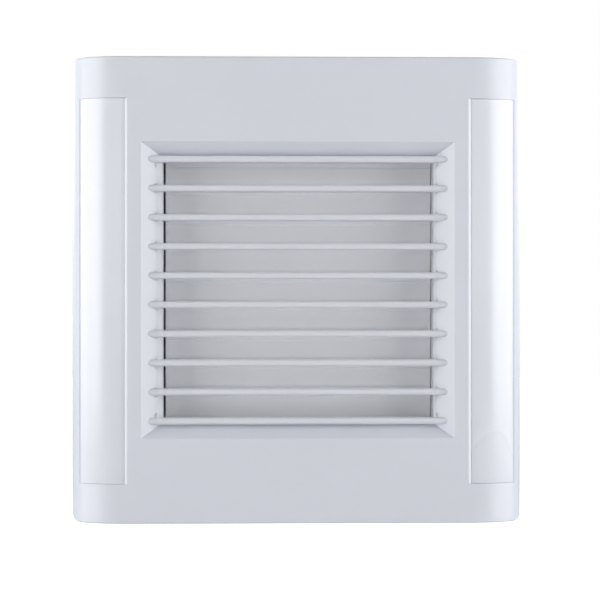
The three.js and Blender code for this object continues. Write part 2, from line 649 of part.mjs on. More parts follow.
function statorCore() {
  let core = ring(STATOR.ring, STATOR.outer, STATOR.front, STATOR.back, MIDDLE);
  const half = STATOR.tooth / 2;
  const [reach, deep] = [[-STATOR.ring - 1, STATOR.ring + 1], [STATOR.front, STATOR.back]];
  core = join(core, box(reach, deep, [-half, half]), box([-half, half], deep, reach));
  return cut(core, bar("y", [0, 0], STATOR.bore, STATOR.front - 1, STATOR.back + 1, MIDDLE));
}

function coil(index) {
  const [front, back] = [STATOR.front - COIL.overhang, STATOR.back + COIL.overhang];
  const [half, slack] = [STATOR.tooth / 2 + GAP, GAP];
  const winding = cut(
    box([COIL.inner, COIL.outer], [front, back], [-COIL.half, COIL.half]),
    box([COIL.inner - 1, COIL.outer + 1], [STATOR.front - slack, STATOR.back + slack], [-half, half]),
  );
  return spun(winding, 90 * index);
}

// A blade's section at one radius, wrapped round the axis: a thin cambered plate.
function impellerSection(radius, degrees, chord, thick) {
  const stations = [-0.5, -0.2, 0.15, 0.5];
  const [c, s] = [Math.cos(THREE.MathUtils.degToRad(degrees)), Math.sin(THREE.MathUtils.degToRad(degrees))];
  const middle = (IMPELLER.front + IMPELLER.back) / 2;
  const point = (along, side) => {
    const taper = Math.abs(along) === 0.5 ? 0.35 : 0.5;
    const bow = 0.08 * chord * (1 - 4 * along * along) + side * thick * taper;
    const [round, y] = [along * chord * c - bow * s, along * chord * s + bow * c];
    const angle = round / radius;
    return [radius * Math.cos(angle), middle + y, radius * Math.sin(angle)];
  };
  return [...stations.map((t) => point(t, 1)), ...stations.toReversed().map((t) => point(t, -1))];
}

function impeller() {
  const { hub, tip, front, back, wall } = IMPELLER;
  const bore = SHAFT.radius + GAP;
  let wheel = turned(
    [
      [bore, front + 1],
      [6, front + 1],
      [7, front],
      [hub - 4, front],
      [hub, front + 4],
      [hub, back],
      [hub - wall, back],
      [hub - wall, front + 5],
      [hub - 5, front + 2.2],
      [6, front + 2.2],
      [6, back - 3],
      [bore, back - 3],
    ],
    MIDDLE,
  );
  const rings = [0, 0.33, 0.67, 1].map((share) => {
    const radius = hub - 1 + (tip - hub + 1) * share;
    const degrees = IMPELLER.rootDeg + (IMPELLER.tipDeg - IMPELLER.rootDeg) * share;
    return impellerSection(radius, degrees, 20 + 14 * share, 2.2 - 0.6 * share);
  });
  const blade = loft(rings).intersect(ring(hub - 1.5, tip, front - 2, back + 2, BIG_ROUND));
  const step = 360 / IMPELLER.blades;
  for (let i = 0; i < IMPELLER.blades; i += 1) wheel = join(wheel, spun(blade, step * i));
  return wheel;
}

// ---- Wiring and fasteners ----

function terminalBlock() {
  const { left, right, low, high, front } = TERMINAL;
  const pole = (right - left) / 3;
  let block = box([left, right], [front, TRAY.floor - GAP], [low, high]);
  for (let i = 0; i < 3; i += 1) {
    const [x, edge] = [left + pole * (i + 0.5), left + pole * i];
    for (const z of [low + 4, high - 4]) block = cut(block, bar("y", [x, z], 2, front - 1, front + 4, 8));
    const slot = box([edge - 0.5, edge + 0.5], [front - 1, front + 5], [low - 1, high + 1]);
    if (i > 0) block = cut(block, slot);
  }
  return block;
}

function terminalCover() {
  const { left, right, low, high, front, cover, room } = TERMINAL;
  const back = TRAY.floor - GAP;
  const shell = (by, end) => box([left - by, right + by], [front - by, end], [low - by, high + by]);
  return cut(
    shell(room + cover, back),
    shell(room, back + 1),
    box([left - 5, left + 0.5], [front + 3, back + 1], [low + 1, low + 10]),
    box([INLET.x - 5, INLET.x + 5], [front + 1, back + 1], [low - 5, low]),
  );
}

function cableGrommet() {
  const wallLow = -COVER.height / 2 + TRAY.inset;
  const wallTop = wallLow + TRAY.wall;
  const { bore, flange, flangeThick, hole } = INLET;
  const grommet = turned([
    [bore, wallLow - GAP - flangeThick],
    [flange, wallLow - GAP - flangeThick],
    [flange, wallLow - GAP],
    [hole - GAP, wallLow - GAP],
    [hole - GAP, wallTop + GAP],
    [flange, wallTop + GAP],
    [flange - 0.8, wallTop + GAP + flangeThick],
    [bore, wallTop + GAP + flangeThick],
  ]);
  return grommet.rotate([90, 0, 0]).translate([INLET.x, INLET.y, 0]);
}

// A pan-head screw pointing along +Y, with its head against a seat.
function screw([x, z], seat, head, shank, length) {
  const under = seat - GAP;
  return join(
    bar("y", [x, z], head.radius, under - head.thick, under, 12),
    bar("y", [x, z], shank, under - 0.1, under + length, 8),
  );
}

// A screw whose head faces the outdoors, for the motor's rear cap.
const screwFromBehind = (place, seat, head, shank, length) =>
  screw([place[0], -place[1]], -seat, head, shank, length).rotate([180, 0, 0]);

function impellerNut() {
  const seat = IMPELLER.front + 1 - GAP;
  const crown = [[0, seat - 6], [3, seat - 6], [5, seat - 4.5]];
  return cut(
    turned([...crown, [5, seat - 1], [6, seat - 0.8], [6, seat], [0, seat]]),
    bar("y", [0, 0], SHAFT.radius + GAP, seat - 4.4, seat + 1),
  );
}

// Out through the tray beside the collar, along it, and in along an arm to the motor cup.
function motorLead() {
  const [px, pz] = polar(1, ARMS.firstDeg);
  const at = (radius, y) => [px * radius, y, pz * radius];
  const low = [[63.6, -9.5, -85], [58, -9, -84], [48, -8.6, -77.5], [38, -8.4, -68.5]];
  const [hole, y] = [LEAD.holeRadius, LEAD.y];
  const through = [at(hole + 1.2, -6.2), at(hole, -2), at(hole, 12), at(hole, 28)];
  const bend = [at(hole - 1, 37), at(66.5, y - 0.6), at(62, y)];
  return leadAlong([...low, ...through, ...bend, at(48, y), at(34, y), at(25, y)]);
}

function actuatorLead() {
  return leadAlong([
    [63.6, -9.5, -88.8], [55, -9, -90], [40, -8.4, -93], [15, -8.2, -94.5], [-15, -8.2, -94.5],
    [-38, -9, -93], [-47, -13, -91], [-53, -18, -90], [-58.6, -20, -90],
  ]);
}

// ---- Assembly ----

const finish = (color, roughness, metalness = 0) => ({ color, roughness, metalness });
const WHITE = finish(0xe9eaee, 0.35);
const TRIM_WHITE = finish(0xf2f2f5, 0.2);
const GREY = finish(0xc9cad1, 0.45);
const DARK = finish(0x2c2d30, 0.6);
const STEEL = finish(0xb9bbbe, 0.35, 1);
const BRONZE = finish(0x9a6b3a, 0.45, 1);
const COPPER = finish(0xb06a3c, 0.4, 1);
const RUBBER = finish(0x3a3a3c, 0.85);
const NATURAL = finish(0xdcd8c8, 0.5);

const fan = new THREE.Group();

function place(name, shape, look) {
  const mesh = new THREE.Mesh(geometryOf(shape), new THREE.MeshStandardMaterial(look));
  mesh.name = name;
  fan.add(mesh);
}

place("front_cover", frontCover(), WHITE);
place("left_trim", sideTrim(-1), TRIM_WHITE);
place("right_trim", sideTrim(1), TRIM_WHITE);
place("louvre_grille", louvreGrille(), WHITE);
place("shutter_frame", shutterFrame(), GREY);
bladeAxisZ.forEach((z, i) => place(`shutter_blade_${i + 1}`, shutterBlade(z), GREY));
place("tie_rod", tieRod(), WHITE);
place("actuator_body", actuatorBody(), NATURAL);
place("actuator_plunger", actuatorPlunger(), STEEL);
place("return_spring", returnSpring(), STEEL);
place("housing", housing(), WHITE);
const gasket = (from) => ring(GASKET.inner, GASKET.outer, from, from + GASKET.thick, BIG_ROUND);
place("inner_gasket", gasket(-GASKET.thick), RUBBER);
place("outer_gasket", gasket(PANE.thick), RUBBER);
place("outdoor_frame", outdoorFrame(), WHITE);
place("outdoor_louvre", outdoorLouvre(), WHITE);
place("duct_collar", ductCollar(), WHITE);
place("motor_end_cap", motorEndCap(), WHITE);
place("stator_core", statorCore(), STEEL);
for (let i = 0; i < 4; i += 1) place(`coil_${i + 1}`, coil(i), COPPER);
place("rotor", ring(SHAFT.radius + GAP, ROTOR.radius, ROTOR.front, ROTOR.back, MIDDLE), STEEL);
place("shaft", bar("y", [0, 0], SHAFT.radius, SHAFT.front, SHAFT.back), STEEL);
for (const [name, front] of [["front_bearing", BEARING.front], ["rear_bearing", BEARING.rear]]) {
  place(name, ring(SHAFT.radius + GAP, BEARING.radius, front, front + BEARING.length), BRONZE);
}
place("impeller", impeller(), GREY);
place("impeller_nut", impellerNut(), GREY);
place("terminal_block", terminalBlock(), NATURAL);
place("terminal_cover", terminalCover(), WHITE);
place("cable_grommet", cableGrommet(), RUBBER);
place("motor_lead", motorLead(), DARK);
place("actuator_lead", actuatorLead(), DARK);

// One screw at each place of a group, numbered from 1.
function placeScrews(name, places, seat, head, shank, length, make = screw) {
  places.forEach((at, i) => place(`${name}_${i + 1}`, make(at, seat, head, shank, length), STEEL));
}

const flangeFront = TRAY.floor - GAP - COLLAR.flangeThick;
placeScrews("clamp_screw", clampPlaces, TRAY.floor, { radius: 3.8, thick: 2.4 }, 2, CLAMP.tip - TRAY.floor);
placeScrews("cover_screw", coverScrewPlaces, COVER_SCREW.seat, { radius: 3.4, thick: 2 }, 1.6, 12);
placeScrews("collar_screw", collarScrewPlaces, flangeFront, { radius: 3.2, thick: 2 }, 1.6, 10);
placeScrews("shutter_screw", shutterScrewPlaces, SHUTTER_SCREW.earFront, { radius: 3, thick: 2 }, 1.5, 10);
const capSeat = CUP.back + GAP + CUP.capThick;
placeScrews("motor_screw", capScrewPlaces, capSeat, { radius: 2.4, thick: 1.6 }, 1.2, 6, screwFromBehind);

export default fan;
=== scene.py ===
"""The looks of a window exhaust fan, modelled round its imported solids.

Run as a script, it makes every piece of the fan, its finishes, a studio and a camera.
Shapes are drawn in millimetres and turned into metres as each piece is finished.
+X is right and +Z up as seen from the room, and the room is on the -Y side.
"""

import math

import bmesh
import bpy
from mathutils import Matrix, Vector


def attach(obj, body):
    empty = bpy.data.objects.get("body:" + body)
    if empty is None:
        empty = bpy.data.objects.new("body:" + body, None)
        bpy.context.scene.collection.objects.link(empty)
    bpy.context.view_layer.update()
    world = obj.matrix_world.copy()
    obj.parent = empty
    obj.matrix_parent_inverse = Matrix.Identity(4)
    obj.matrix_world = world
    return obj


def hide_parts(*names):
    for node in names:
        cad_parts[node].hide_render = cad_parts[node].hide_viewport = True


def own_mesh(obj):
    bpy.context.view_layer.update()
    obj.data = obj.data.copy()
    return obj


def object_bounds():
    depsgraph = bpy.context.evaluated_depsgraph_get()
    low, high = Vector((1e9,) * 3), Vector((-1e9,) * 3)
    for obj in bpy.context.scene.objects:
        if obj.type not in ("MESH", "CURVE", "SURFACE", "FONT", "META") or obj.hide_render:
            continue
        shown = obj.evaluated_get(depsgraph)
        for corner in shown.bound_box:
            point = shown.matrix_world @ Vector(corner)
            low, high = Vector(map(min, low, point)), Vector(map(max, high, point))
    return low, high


bl_info = {
    "name": "Window Exhaust Fan",
    "version": (1, 0, 0),
    "blender": (4, 5, 0),
    "location": "View3D > Sidebar > Fan",
    "description": "Models a square window exhaust fan with a louvred front and an outdoor rain louvre",
    "category": "Object",
}

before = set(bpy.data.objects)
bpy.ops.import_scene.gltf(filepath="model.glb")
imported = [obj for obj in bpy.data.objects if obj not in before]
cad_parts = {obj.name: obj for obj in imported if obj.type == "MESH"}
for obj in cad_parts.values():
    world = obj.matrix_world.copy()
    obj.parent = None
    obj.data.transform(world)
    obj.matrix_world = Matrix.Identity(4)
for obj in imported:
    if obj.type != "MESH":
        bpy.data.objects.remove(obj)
CAD_BOX = [list(corner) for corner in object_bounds()]

# Every size below is in millimetres.
MM = 0.001
# The gap that two touching pieces keep, and the finer one round the trims and the bars.
GAP, FINE_GAP = 0.3, 0.06
# How far a cutter reaches past what it cuts, and how far joined bodies run into each other.
PAST, INTO = 1.0, 0.5

# Front cover and its trims.
COVER_HALF_X, COVER_HALF_Z = 103.0, 105.8
COVER_FRONT, COVER_BACK, COVER_WALL = -46.0, -17.3, 2.2
TOP_CORNER, LOW_CORNER = 2.5, 4.0
CURVE_WIDTH, CURVE_DEPTH = 25.0, 20.0
TRIM_INNER, TRIM_OUTER, TRIM_LOW, TRIM_TOP = 78.6, 99.2, -87.85, 86.95
TRIM_BACK, RECESS, RECESS_FLOOR, FLOOR_BACK = 2.7, 3.2, 2.2, -29.0
# The chamfer beside a trim: its section, from the trim's inner edge and the flat face.
CHAMFER = [(-1.25, 0), (-1.25, -1), (0.2, -1), (0.2, 0.85), (0, 0.85)]
FUNNEL_FRONT, FUNNEL_THROAT = (71.1, 67.2), (62.6, 61.1)
FUNNEL_BEVEL, FUNNEL_DEPTH = 6.5, 14.0
COVER_SCREWS = [(x, z) for x in (88.5, -88.5) for z in (60.0, -60.0)]
COVER_SEAT, COVER_SCREW_HOLE = -37.0, 2.0
CUP_RADIUS, CUP_BORE, CUP_FRONT, CUP_BACK = 5.5, 4.0, -41.5, -35.0

# Louvre bars and the shutter behind them.
BARS, PITCH, BAR_NOSE, BAR_BACK = 10, 13.22, -43.7, -33.5
RAIL_BACK_OUTER, RAIL_HIDDEN, RAIL_LIP, RAIL_SLOPE = 63.9, 68.0, 0.4, 0.55
# For the left and the right rail: inner side, outer side where it shows, and front.
RAILS = {-1: (61.4, 64.3, -40.8), 1: (62.05, 63.2, -40.0)}
GUSSET, END_GUSSET, GUSSET_LIP = 0.9, 2.3, 0.4
HOOK_REACH, HOOK_THICK, HOOK_HALF, HOOK_Z = 1.5, 1.4, 4.0, (-45, 0, 45)
BLADE_AXIS_Y, BLADE_LEFT, BLADE_RIGHT = -26.0, -60.3, 61.8
BLADE_THICK, BLADE_LEAN, BLADE_OVERLAP, BARREL = 1.2, 2.4, 1.0, 1.5
PIN_RADIUS, PIN_HOLE, PIN_RIGHT = 1.1, 1.45, 64.2
CRANK_RADIUS, CRANK_REST, CRANK_HALF = 6.0, math.radians(-37.5), 1.8
CRANK_INNER, CRANK_OUTER, CRANK_PIN_RADIUS, CRANK_PIN_END = -67.0, -68.3, 0.9, -71.1
BLADE_Z = [((BARS - 1) / 2 - i) * PITCH for i in range(BARS - 1)]
CRANK_PIN = (CRANK_RADIUS * math.cos(CRANK_REST), CRANK_RADIUS * math.sin(CRANK_REST))
SHUTTER_SCREWS = [(x, z) for x in (56.0, -56.0) for z in (72.0, -72.0)]
SHUTTER_X, SHUTTER_Z, SHUTTER_WALL, SHUTTER_DEPTH = 61.9, 62.4, 2.5, (-29.7, -14.0)
MOUTH_LEFT, MOUTH_RIGHT, MOUTH_HALF = -61.25, 62.2, 0.95
SHUTTER_LIP, SHUTTER_LIP_Z = 1.5, 61.2
EAR_RADIUS, EAR_FRONT, EAR_BACK, EAR_HOLE = 5.0, -18.8, -16.3, 1.9
ACTUATOR_X, ACTUATOR_Y = -69.65, -20.6
ACTUATOR_RADIUS, ACTUATOR_LOW, ACTUATOR_HIGH = 7.0, -96, -66
NECK_RADIUS, NECK_TOP, ACTUATOR_BORE, BORE_LOW = 4.0, -62, 1.9, -81
PLUG_END, PLUG_HALF, PLUG_LOW, PLUG_HIGH = -59, 3.5, -94, -86
PLUNGER_RADIUS, PLUNGER_HEAD, PLUNGER_HEAD_THICK = 1.5, 2.3, 2.0
LUG_HALF, LUG_WALL = 4.0, 2.2
ROD_OUTER, ROD_INNER, ROD_HALF, ROD_END, ROD_HOLE = -70.55, -68.75, 2.2, 3.0, 1.25
ROD_LOW = BLADE_Z[-1] + CRANK_PIN[1] - ROD_END
ROD_TOP = BLADE_Z[0] + CRANK_PIN[1] + ROD_END
SPRING_LOW, SPRING_SEAT = ROD_TOP + GAP, 75.3
SPRING_COIL, SPRING_WIRE, SPRING_TURNS = 2.6, 0.4, 7

# Housing tray, seals, collar and motor.
TRAY_BACK, TRAY_FLOOR, TRAY_FRONT, TRAY_WALL, TRAY_INSET = -3.3, -6.0, -17.0, 2.6, 0.1
TRAY_LIP, TRAY_LIP_FRONT, TRAY_HOLE = 2.0, -24.0, 62.4
COLLAR_BACK, COLLAR_FRONT = TRAY_FLOOR - GAP, TRAY_FLOOR - GAP - 2.3
COLLAR_INNER, COLLAR_OUTER, COLLAR_FLANGE, COLLAR_END = 60.0, 62.0, 64.3, 50.0
PANE, SEAL_THICK, SEAL_INNER, SEAL_OUTER = 6.0, 3.0, 77.0, 92.0
ARM_ANGLE = math.radians(-62)
LEAD_RING, LEAD_RADIUS = 71.0, 1.3
GROMMET_X, GROMMET_Y = 70.0, -10.2
HOOD_END, SLAT_FRAME, SLAT_RAIL = 64.0, 75.4, 2.4
SLATS, SLAT_PITCH, SLAT_Y, SLAT_WIDTH, SLAT_THICK, SLAT_SLOPE = 8, 17.0, 57.5, 13.0, 1.8, math.radians(-40)
SCREW_RING, LEAD_DEPTH = 69.0, 42.2
MOTOR_RADIUS, CORE_DEPTH, ROTOR_BORE, FRONT_BEARING, REAR_BEARING = 29.0, (28, 40), 2.3, 20.2, 40.6
CAP_FRONT, CAP_RIM = 46.3, 48.5
HUB_RADIUS, IMPELLER_ROOT, IMPELLER_TIP, IMPELLER_BLADES = 20.0, 18.6, 58.6, 7


def on_ring(radius, degrees):
    """A point (x, z) on a ring round the duct's axis."""
    turn = math.radians(degrees)
    return radius * math.cos(turn), radius * math.sin(turn)


CLAMPS = [on_ring(SCREW_RING, a) for a in (45, 135, 225, 315)]
COLLAR_SCREWS = [on_ring(SCREW_RING, a) for a in (90, 210, 330)]
CAP_SCREWS = [on_ring(24.6, a) for a in (28, 208)]


# ---- Meshes in millimetres ----


def poly(bm, points):
    """One face through these points."""
    return bm.faces.new([bm.verts.new(p) for p in points])


def carried(bm, face, by):
    """A closed body made by carrying a face along a vector."""
    made = bmesh.ops.extrude_face_region(bm, geom=[face])["geom"]
    ends = [v for v in made if isinstance(v, bmesh.types.BMVert)]
    bmesh.ops.translate(bm, verts=ends, vec=by)
    bmesh.ops.recalc_face_normals(bm, faces=bm.faces)
    return bm


def soften(bm, width, angle=35, segments=2, chosen=None):
    """Rounds the edges sharper than an angle, or only those whose two ends pass a test."""
    if width <= 0:
        return bm
    edges = [
        e
        for e in bm.edges
        if len(e.link_faces) == 2 and e.calc_face_angle() > math.radians(angle)
        and (chosen is None or all(chosen(v.co) for v in e.verts))
    ]
    bmesh.ops.bevel(
        bm, geom=edges, offset=width, offset_type="OFFSET", segments=segments, profile=0.5,
        affect="EDGES", clamp_overlap=True, material=-1,
    )
    return bm


def block(x, y, z, soft=0.0):
    """A box between three pairs of limits, its edges rounded."""
    bm = bmesh.new()
    bmesh.ops.create_cube(bm, size=1)
    bmesh.ops.scale(bm, vec=(x[1] - x[0], y[1] - y[0], z[1] - z[0]), verts=bm.verts)
    bmesh.ops.translate(bm, vec=(sum(x) / 2, sum(y) / 2, sum(z) / 2), verts=bm.verts)
    return soften(bm, soft)


TURN_TO = {
    "x": Matrix.Rotation(math.pi / 2, 3, "Y"),
    "y": Matrix.Rotation(-math.pi / 2, 3, "X"),
    "z": Matrix.Identity(3),
}


def rod(axis, at, radius, start, end, sides=32, soft=0.0, tip=None):
    """A round bar along an axis. at gives its two other coordinates, in X, Y, Z order."""
    bm = bmesh.new()
    bmesh.ops.create_cone(
        bm, cap_ends=True, cap_tris=False, segments=sides, radius1=radius,
        radius2=radius if tip is None else tip, depth=end - start,
    )
    bmesh.ops.rotate(bm, cent=(0, 0, 0), matrix=TURN_TO[axis], verts=bm.verts)
    middle = list(at)
    middle.insert("xyz".index(axis), (start + end) / 2)
    bmesh.ops.translate(bm, vec=middle, verts=bm.verts)
    return soften(bm, soft, angle=50)


def turned(profile, sides=96, closed=True):
    """A profile of (radius, y) points turned about the Y axis."""
    bm = bmesh.new()
    verts = [bm.verts.new((r, y, 0)) for r, y in profile]
    edges = [bm.edges.new(pair) for pair in zip(verts, verts[1:])]
    if closed:
        edges.append(bm.edges.new((verts[-1], verts[0])))
    bmesh.ops.spin(
        bm, geom=verts + edges, cent=(0, 0, 0), axis=(0, 1, 0), dvec=(0, 0, 0),
        angle=2 * math.pi, steps=sides, use_merge=True, use_duplicate=False,
    )
    bmesh.ops.remove_doubles(bm, verts=bm.verts, dist=1e-4)
    bmesh.ops.recalc_face_normals(bm, faces=bm.faces)
    return bm


def rounded(points, radius, steps=4):
    """A closed outline of 2D points with each corner rounded."""
    out = []
    count = len(points)
    for i, point in enumerate(points):
        corner, before, after = Vector(point), Vector(points[i - 1]), Vector(points[(i + 1) % count])
        one, two = (before - corner).normalized(), (after - corner).normalized()
        half = math.acos(max(-1, min(1, one.dot(two)))) / 2
        if half > math.radians(85):
            out.append(tuple(corner))
            continue
        reach = min(radius / math.tan(half), 0.49 * (before - corner).length, 0.49 * (after - corner).length)
        real = reach * math.tan(half)
        centre = corner + (one + two).normalized() * (real / math.sin(half))
        first, last = corner + one * reach - centre, corner + two * reach - centre
        sweep = first.angle_signed(last)
        for k in range(steps + 1):
            turn = Matrix.Rotation(-sweep * k / steps, 2)
            out.append(tuple(centre + turn @ first))
    return out


def prism(outline, axis, start, end, soft=0.0, angle=35, segments=2):
    """An outline carried along an axis. It is drawn in the other two, in X, Y, Z order."""
    bm = bmesh.new()
    place = "xyz".index(axis)
    points = []
    for a, b in outline:
        point = [a, b]
        point.insert(place, start)
        points.append(point)
    by = [0, 0, 0]
    by[place] = end - start
    carried(bm, poly(bm, points), by)
    return soften(bm, soft, angle, segments)


def rectangle(half_x, half_z, corner, steps=8):
    """A rectangle about the origin with rounded corners."""
    corners = [(-half_x, -half_z), (half_x, -half_z), (half_x, half_z), (-half_x, half_z)]
    return rounded(corners, corner, steps)


def stacked(rings):
    """A skin over rings of points, each carried on from the last, and closed at both ends."""
    bm = bmesh.new()
    verts = [bm.verts.new(p) for p in rings[0]]
    edges = [bm.edges.new((verts[i - 1], verts[i])) for i in range(len(verts))]
    bmesh.ops.contextual_create(bm, geom=edges)
    for ring in rings[1:]:
        made = bmesh.ops.extrude_edge_only(bm, edges=edges)["geom"]
        fresh = [v for v in made if isinstance(v, bmesh.types.BMVert)]
        edges = [e for e in made if isinstance(e, bmesh.types.BMEdge) and all(v in fresh for v in e.verts)]
        following = {}
        for v in fresh:
            below = next(e.other_vert(v) for e in v.link_edges if e.other_vert(v) not in fresh)
            following[below] = v
        verts = [following[v] for v in verts]
        for v, p in zip(verts, ring):
            v.co = p
    bmesh.ops.contextual_create(bm, geom=edges)
    bmesh.ops.recalc_face_normals(bm, faces=bm.faces)
    return bm


def tube(points, radius, sides=16, steps=6):
    """A round tube along a smooth path through the points."""
    curve = bpy.data.curves.new("path", "CURVE")
    curve.dimensions = "3D"
    curve.bevel_depth = radius
    curve.bevel_resolution = max(1, sides // 4 - 1)
    curve.use_fill_caps = True
    curve.resolution_u = steps
    spline = curve.splines.new("BEZIER")
    spline.bezier_points.add(len(points) - 1)
    for bend, point in zip(spline.bezier_points, points):
        bend.co = point
        bend.handle_left_type = bend.handle_right_type = "AUTO"
    holder = bpy.data.objects.new("path", curve)
    bpy.context.scene.collection.objects.link(holder)
    bpy.context.view_layer.update()
    mesh = bpy.data.meshes.new_from_object(holder.evaluated_get(bpy.context.evaluated_depsgraph_get()))
    bm = bmesh.new()
    bm.from_mesh(mesh)
    bpy.data.objects.remove(holder)
    bpy.data.curves.remove(curve)
    bpy.data.meshes.remove(mesh)
    bmesh.ops.remove_doubles(bm, verts=bm.verts, dist=1e-4)
    bmesh.ops.recalc_face_normals(bm, faces=bm.faces)
    return bm


def holder_of(bm, name):
    """A scene object for a while, so that a modifier can work on the mesh."""
    mesh = bpy.data.meshes.new(name)
    bm.to_mesh(mesh)
    bm.free()
    made = bpy.data.objects.new(name, mesh)
    bpy.context.scene.collection.objects.link(made)
    return made


def combined(operation, first, tools):
    """Joins, cuts or keeps the common part of meshes, with Boolean modifiers."""
    base = holder_of(first, "base")
    others = [holder_of(tool, f"tool_{i}") for i, tool in enumerate(tools)]
    for other in others:
        modifier = base.modifiers.new(other.name, "BOOLEAN")
        modifier.operation = operation
        modifier.solver = "EXACT"
        modifier.object = other
    bpy.context.view_layer.update()
    result = bpy.data.meshes.new_from_object(base.evaluated_get(bpy.context.evaluated_depsgraph_get()))
    bm = bmesh.new()
    bm.from_mesh(result)
    bpy.data.meshes.remove(result)
    for holder in [base, *others]:
        mesh = holder.data
        bpy.data.objects.remove(holder)
        bpy.data.meshes.remove(mesh)
    bmesh.ops.remove_doubles(bm, verts=bm.verts, dist=2e-4)
    bmesh.ops.dissolve_degenerate(bm, edges=bm.edges, dist=1e-4)
    return bm


def join(first, *more):
    """The meshes as one."""
    return combined("UNION", first, more)


def cut(first, *tools):
    """The first mesh without the others."""
    return combined("DIFFERENCE", first, tools)


def common(first, *more):
    """What the meshes have in common."""
    return combined("INTERSECT", first, more)


def spun(bm, angle):
    """Turns a mesh about the Y axis, so that +X comes to an angle towards +Z."""
    bmesh.ops.rotate(bm, cent=(0, 0, 0), matrix=Matrix.Rotation(-angle, 3, "Y"), verts=bm.verts)
    return bm


def moved(bm, by):
    """A mesh moved by a vector."""
    bmesh.ops.translate(bm, vec=by, verts=bm.verts)
    return bm


def piece(name, bm, look, body="body", smooth=32):
    """The finished piece: in metres, riding on its body, in place of the solid of that name."""
    bmesh.ops.scale(bm, vec=(MM, MM, MM), verts=bm.verts)
    title = name + "_finished"
    mesh = bpy.data.meshes.new(title)
    bm.to_mesh(mesh)
    bm.free()
    for polygon in mesh.polygons:
        polygon.use_smooth = True
    mesh.set_sharp_from_angle(angle=math.radians(smooth))
    made = bpy.data.objects.new(title, mesh)
    bpy.context.scene.collection.objects.link(made)
    made.data.materials.append(finish_material(look))
    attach(made, body)
    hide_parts(name)
    return made


# ---- Finishes ----

# The slot, roughness and surface of each finish. Its colour is a property of the scene.
FINISHES = {
    "cover": {"slot": "white_plastic", "rough": 0.32, "grain": 0.35},
    "trim": {"slot": "trim_plastic", "rough": 0.27, "grain": 0.12, "coat": 0.45},
    "grille": {"slot": "grille_plastic", "rough": 0.45, "grain": 0.3},
    "shutter": {"slot": "shutter_plastic", "rough": 0.5, "grain": 0.5},
    "housing": {"slot": "housing_plastic", "rough": 0.38, "grain": 0.4},
    "impeller": {"slot": "impeller_plastic", "rough": 0.42, "grain": 0.4},
    "natural": {"slot": "natural_plastic", "rough": 0.45, "grain": 0.3},
    "zinc": {"slot": "zinc_steel", "rough": 0.32, "lines": "x"},
    "lamination": {"slot": "lamination_steel", "rough": 0.5, "lines": "stack"},
    "copper": {"slot": "copper_winding", "rough": 0.35, "lines": "wire"},
    "bronze": {"slot": "bronze", "rough": 0.55, "lines": "x"},
    "rubber": {"slot": "seal_rubber", "rough": 0.8, "grain": 1.0},
    "sheath": {"slot": "lead_sheath", "rough": 0.45, "grain": 0.3},
}


def group(name, inputs, outputs):
    """An empty shader node group with its sockets, and its input and output nodes."""
    tree = bpy.data.node_groups.new(name, "ShaderNodeTree")
    for label, kind, value in inputs:
        socket = tree.interface.new_socket(name=label, in_out="INPUT", socket_type=kind)
        socket.default_value = value
    for label, kind in outputs:
        tree.interface.new_socket(name=label, in_out="OUTPUT", socket_type=kind)
    return tree, tree.nodes.new("NodeGroupInput"), tree.nodes.new("NodeGroupOutput")


def node(tree, kind, settings=None, **values):
    """A node with its settings, and its input values by name."""
    made = tree.nodes.new(kind)
    for key, value in (settings or {}).items():
        setattr(made, key, value)
    for key, value in values.items():
        made.inputs[key.replace("_", " ")].default_value = value
    return made


def scaled(tree, source, factor):
    """A value times another, either of which may be a socket."""
    made = tree.nodes.new("ShaderNodeMath")
    made.operation = "MULTIPLY"
    for socket, value in zip(made.inputs, (source, factor)):
        if isinstance(value, (int, float)):
            socket.default_value = value
        else:
            tree.links.new(value, socket)
    return made.outputs[0]


def span(tree, source, low, high):
    """A 0 to 1 value spread between two others."""
    made = node(tree, "ShaderNodeMapRange", {"clamp": True})
    made.inputs["To Min"].default_value = low
    made.inputs["To Max"].default_value = high
    tree.links.new(source, made.inputs["Value"])
    return made.outputs["Result"]


def moulding_group():
    """Injection-moulded plastic: slight mottling, a fine spark-eroded grain and slow flow marks."""
    colour = "NodeSocketColor"
    number = "NodeSocketFloat"
    tree, given, out = group(
        "Moulded plastic",
        [("Colour", colour, (0.8, 0.8, 0.8, 1)), ("Roughness", number, 0.4), ("Grain", number, 0.4)],
        [("Colour", colour), ("Roughness", number), ("Height", number)],
    )
    place = tree.nodes.new("ShaderNodeTexCoord").outputs["Object"]
    grain = node(tree, "ShaderNodeTexNoise", Scale=2600.0, Detail=2.0, Roughness=0.6)
    mottle = node(tree, "ShaderNodeTexNoise", Scale=34.0, Detail=3.0, Roughness=0.55)
    flow = node(tree, "ShaderNodeTexNoise", Scale=9.0, Detail=1.0, Distortion=0.6)
    for texture in (grain, mottle, flow):
        tree.links.new(place, texture.inputs["Vector"])
    shade = node(tree, "ShaderNodeHueSaturation")
    tree.links.new(given.outputs["Colour"], shade.inputs["Color"])
    tree.links.new(span(tree, mottle.outputs["Fac"], 0.975, 1.02), shade.inputs["Value"])
    tree.links.new(shade.outputs["Color"], out.inputs["Colour"])
    patchy = scaled(tree, given.outputs["Roughness"], span(tree, flow.outputs["Fac"], 0.88, 1.14))
    tree.links.new(patchy, out.inputs["Roughness"])
    tree.links.new(scaled(tree, grain.outputs["Fac"], given.outputs["Grain"]), out.inputs["Height"])
    return tree


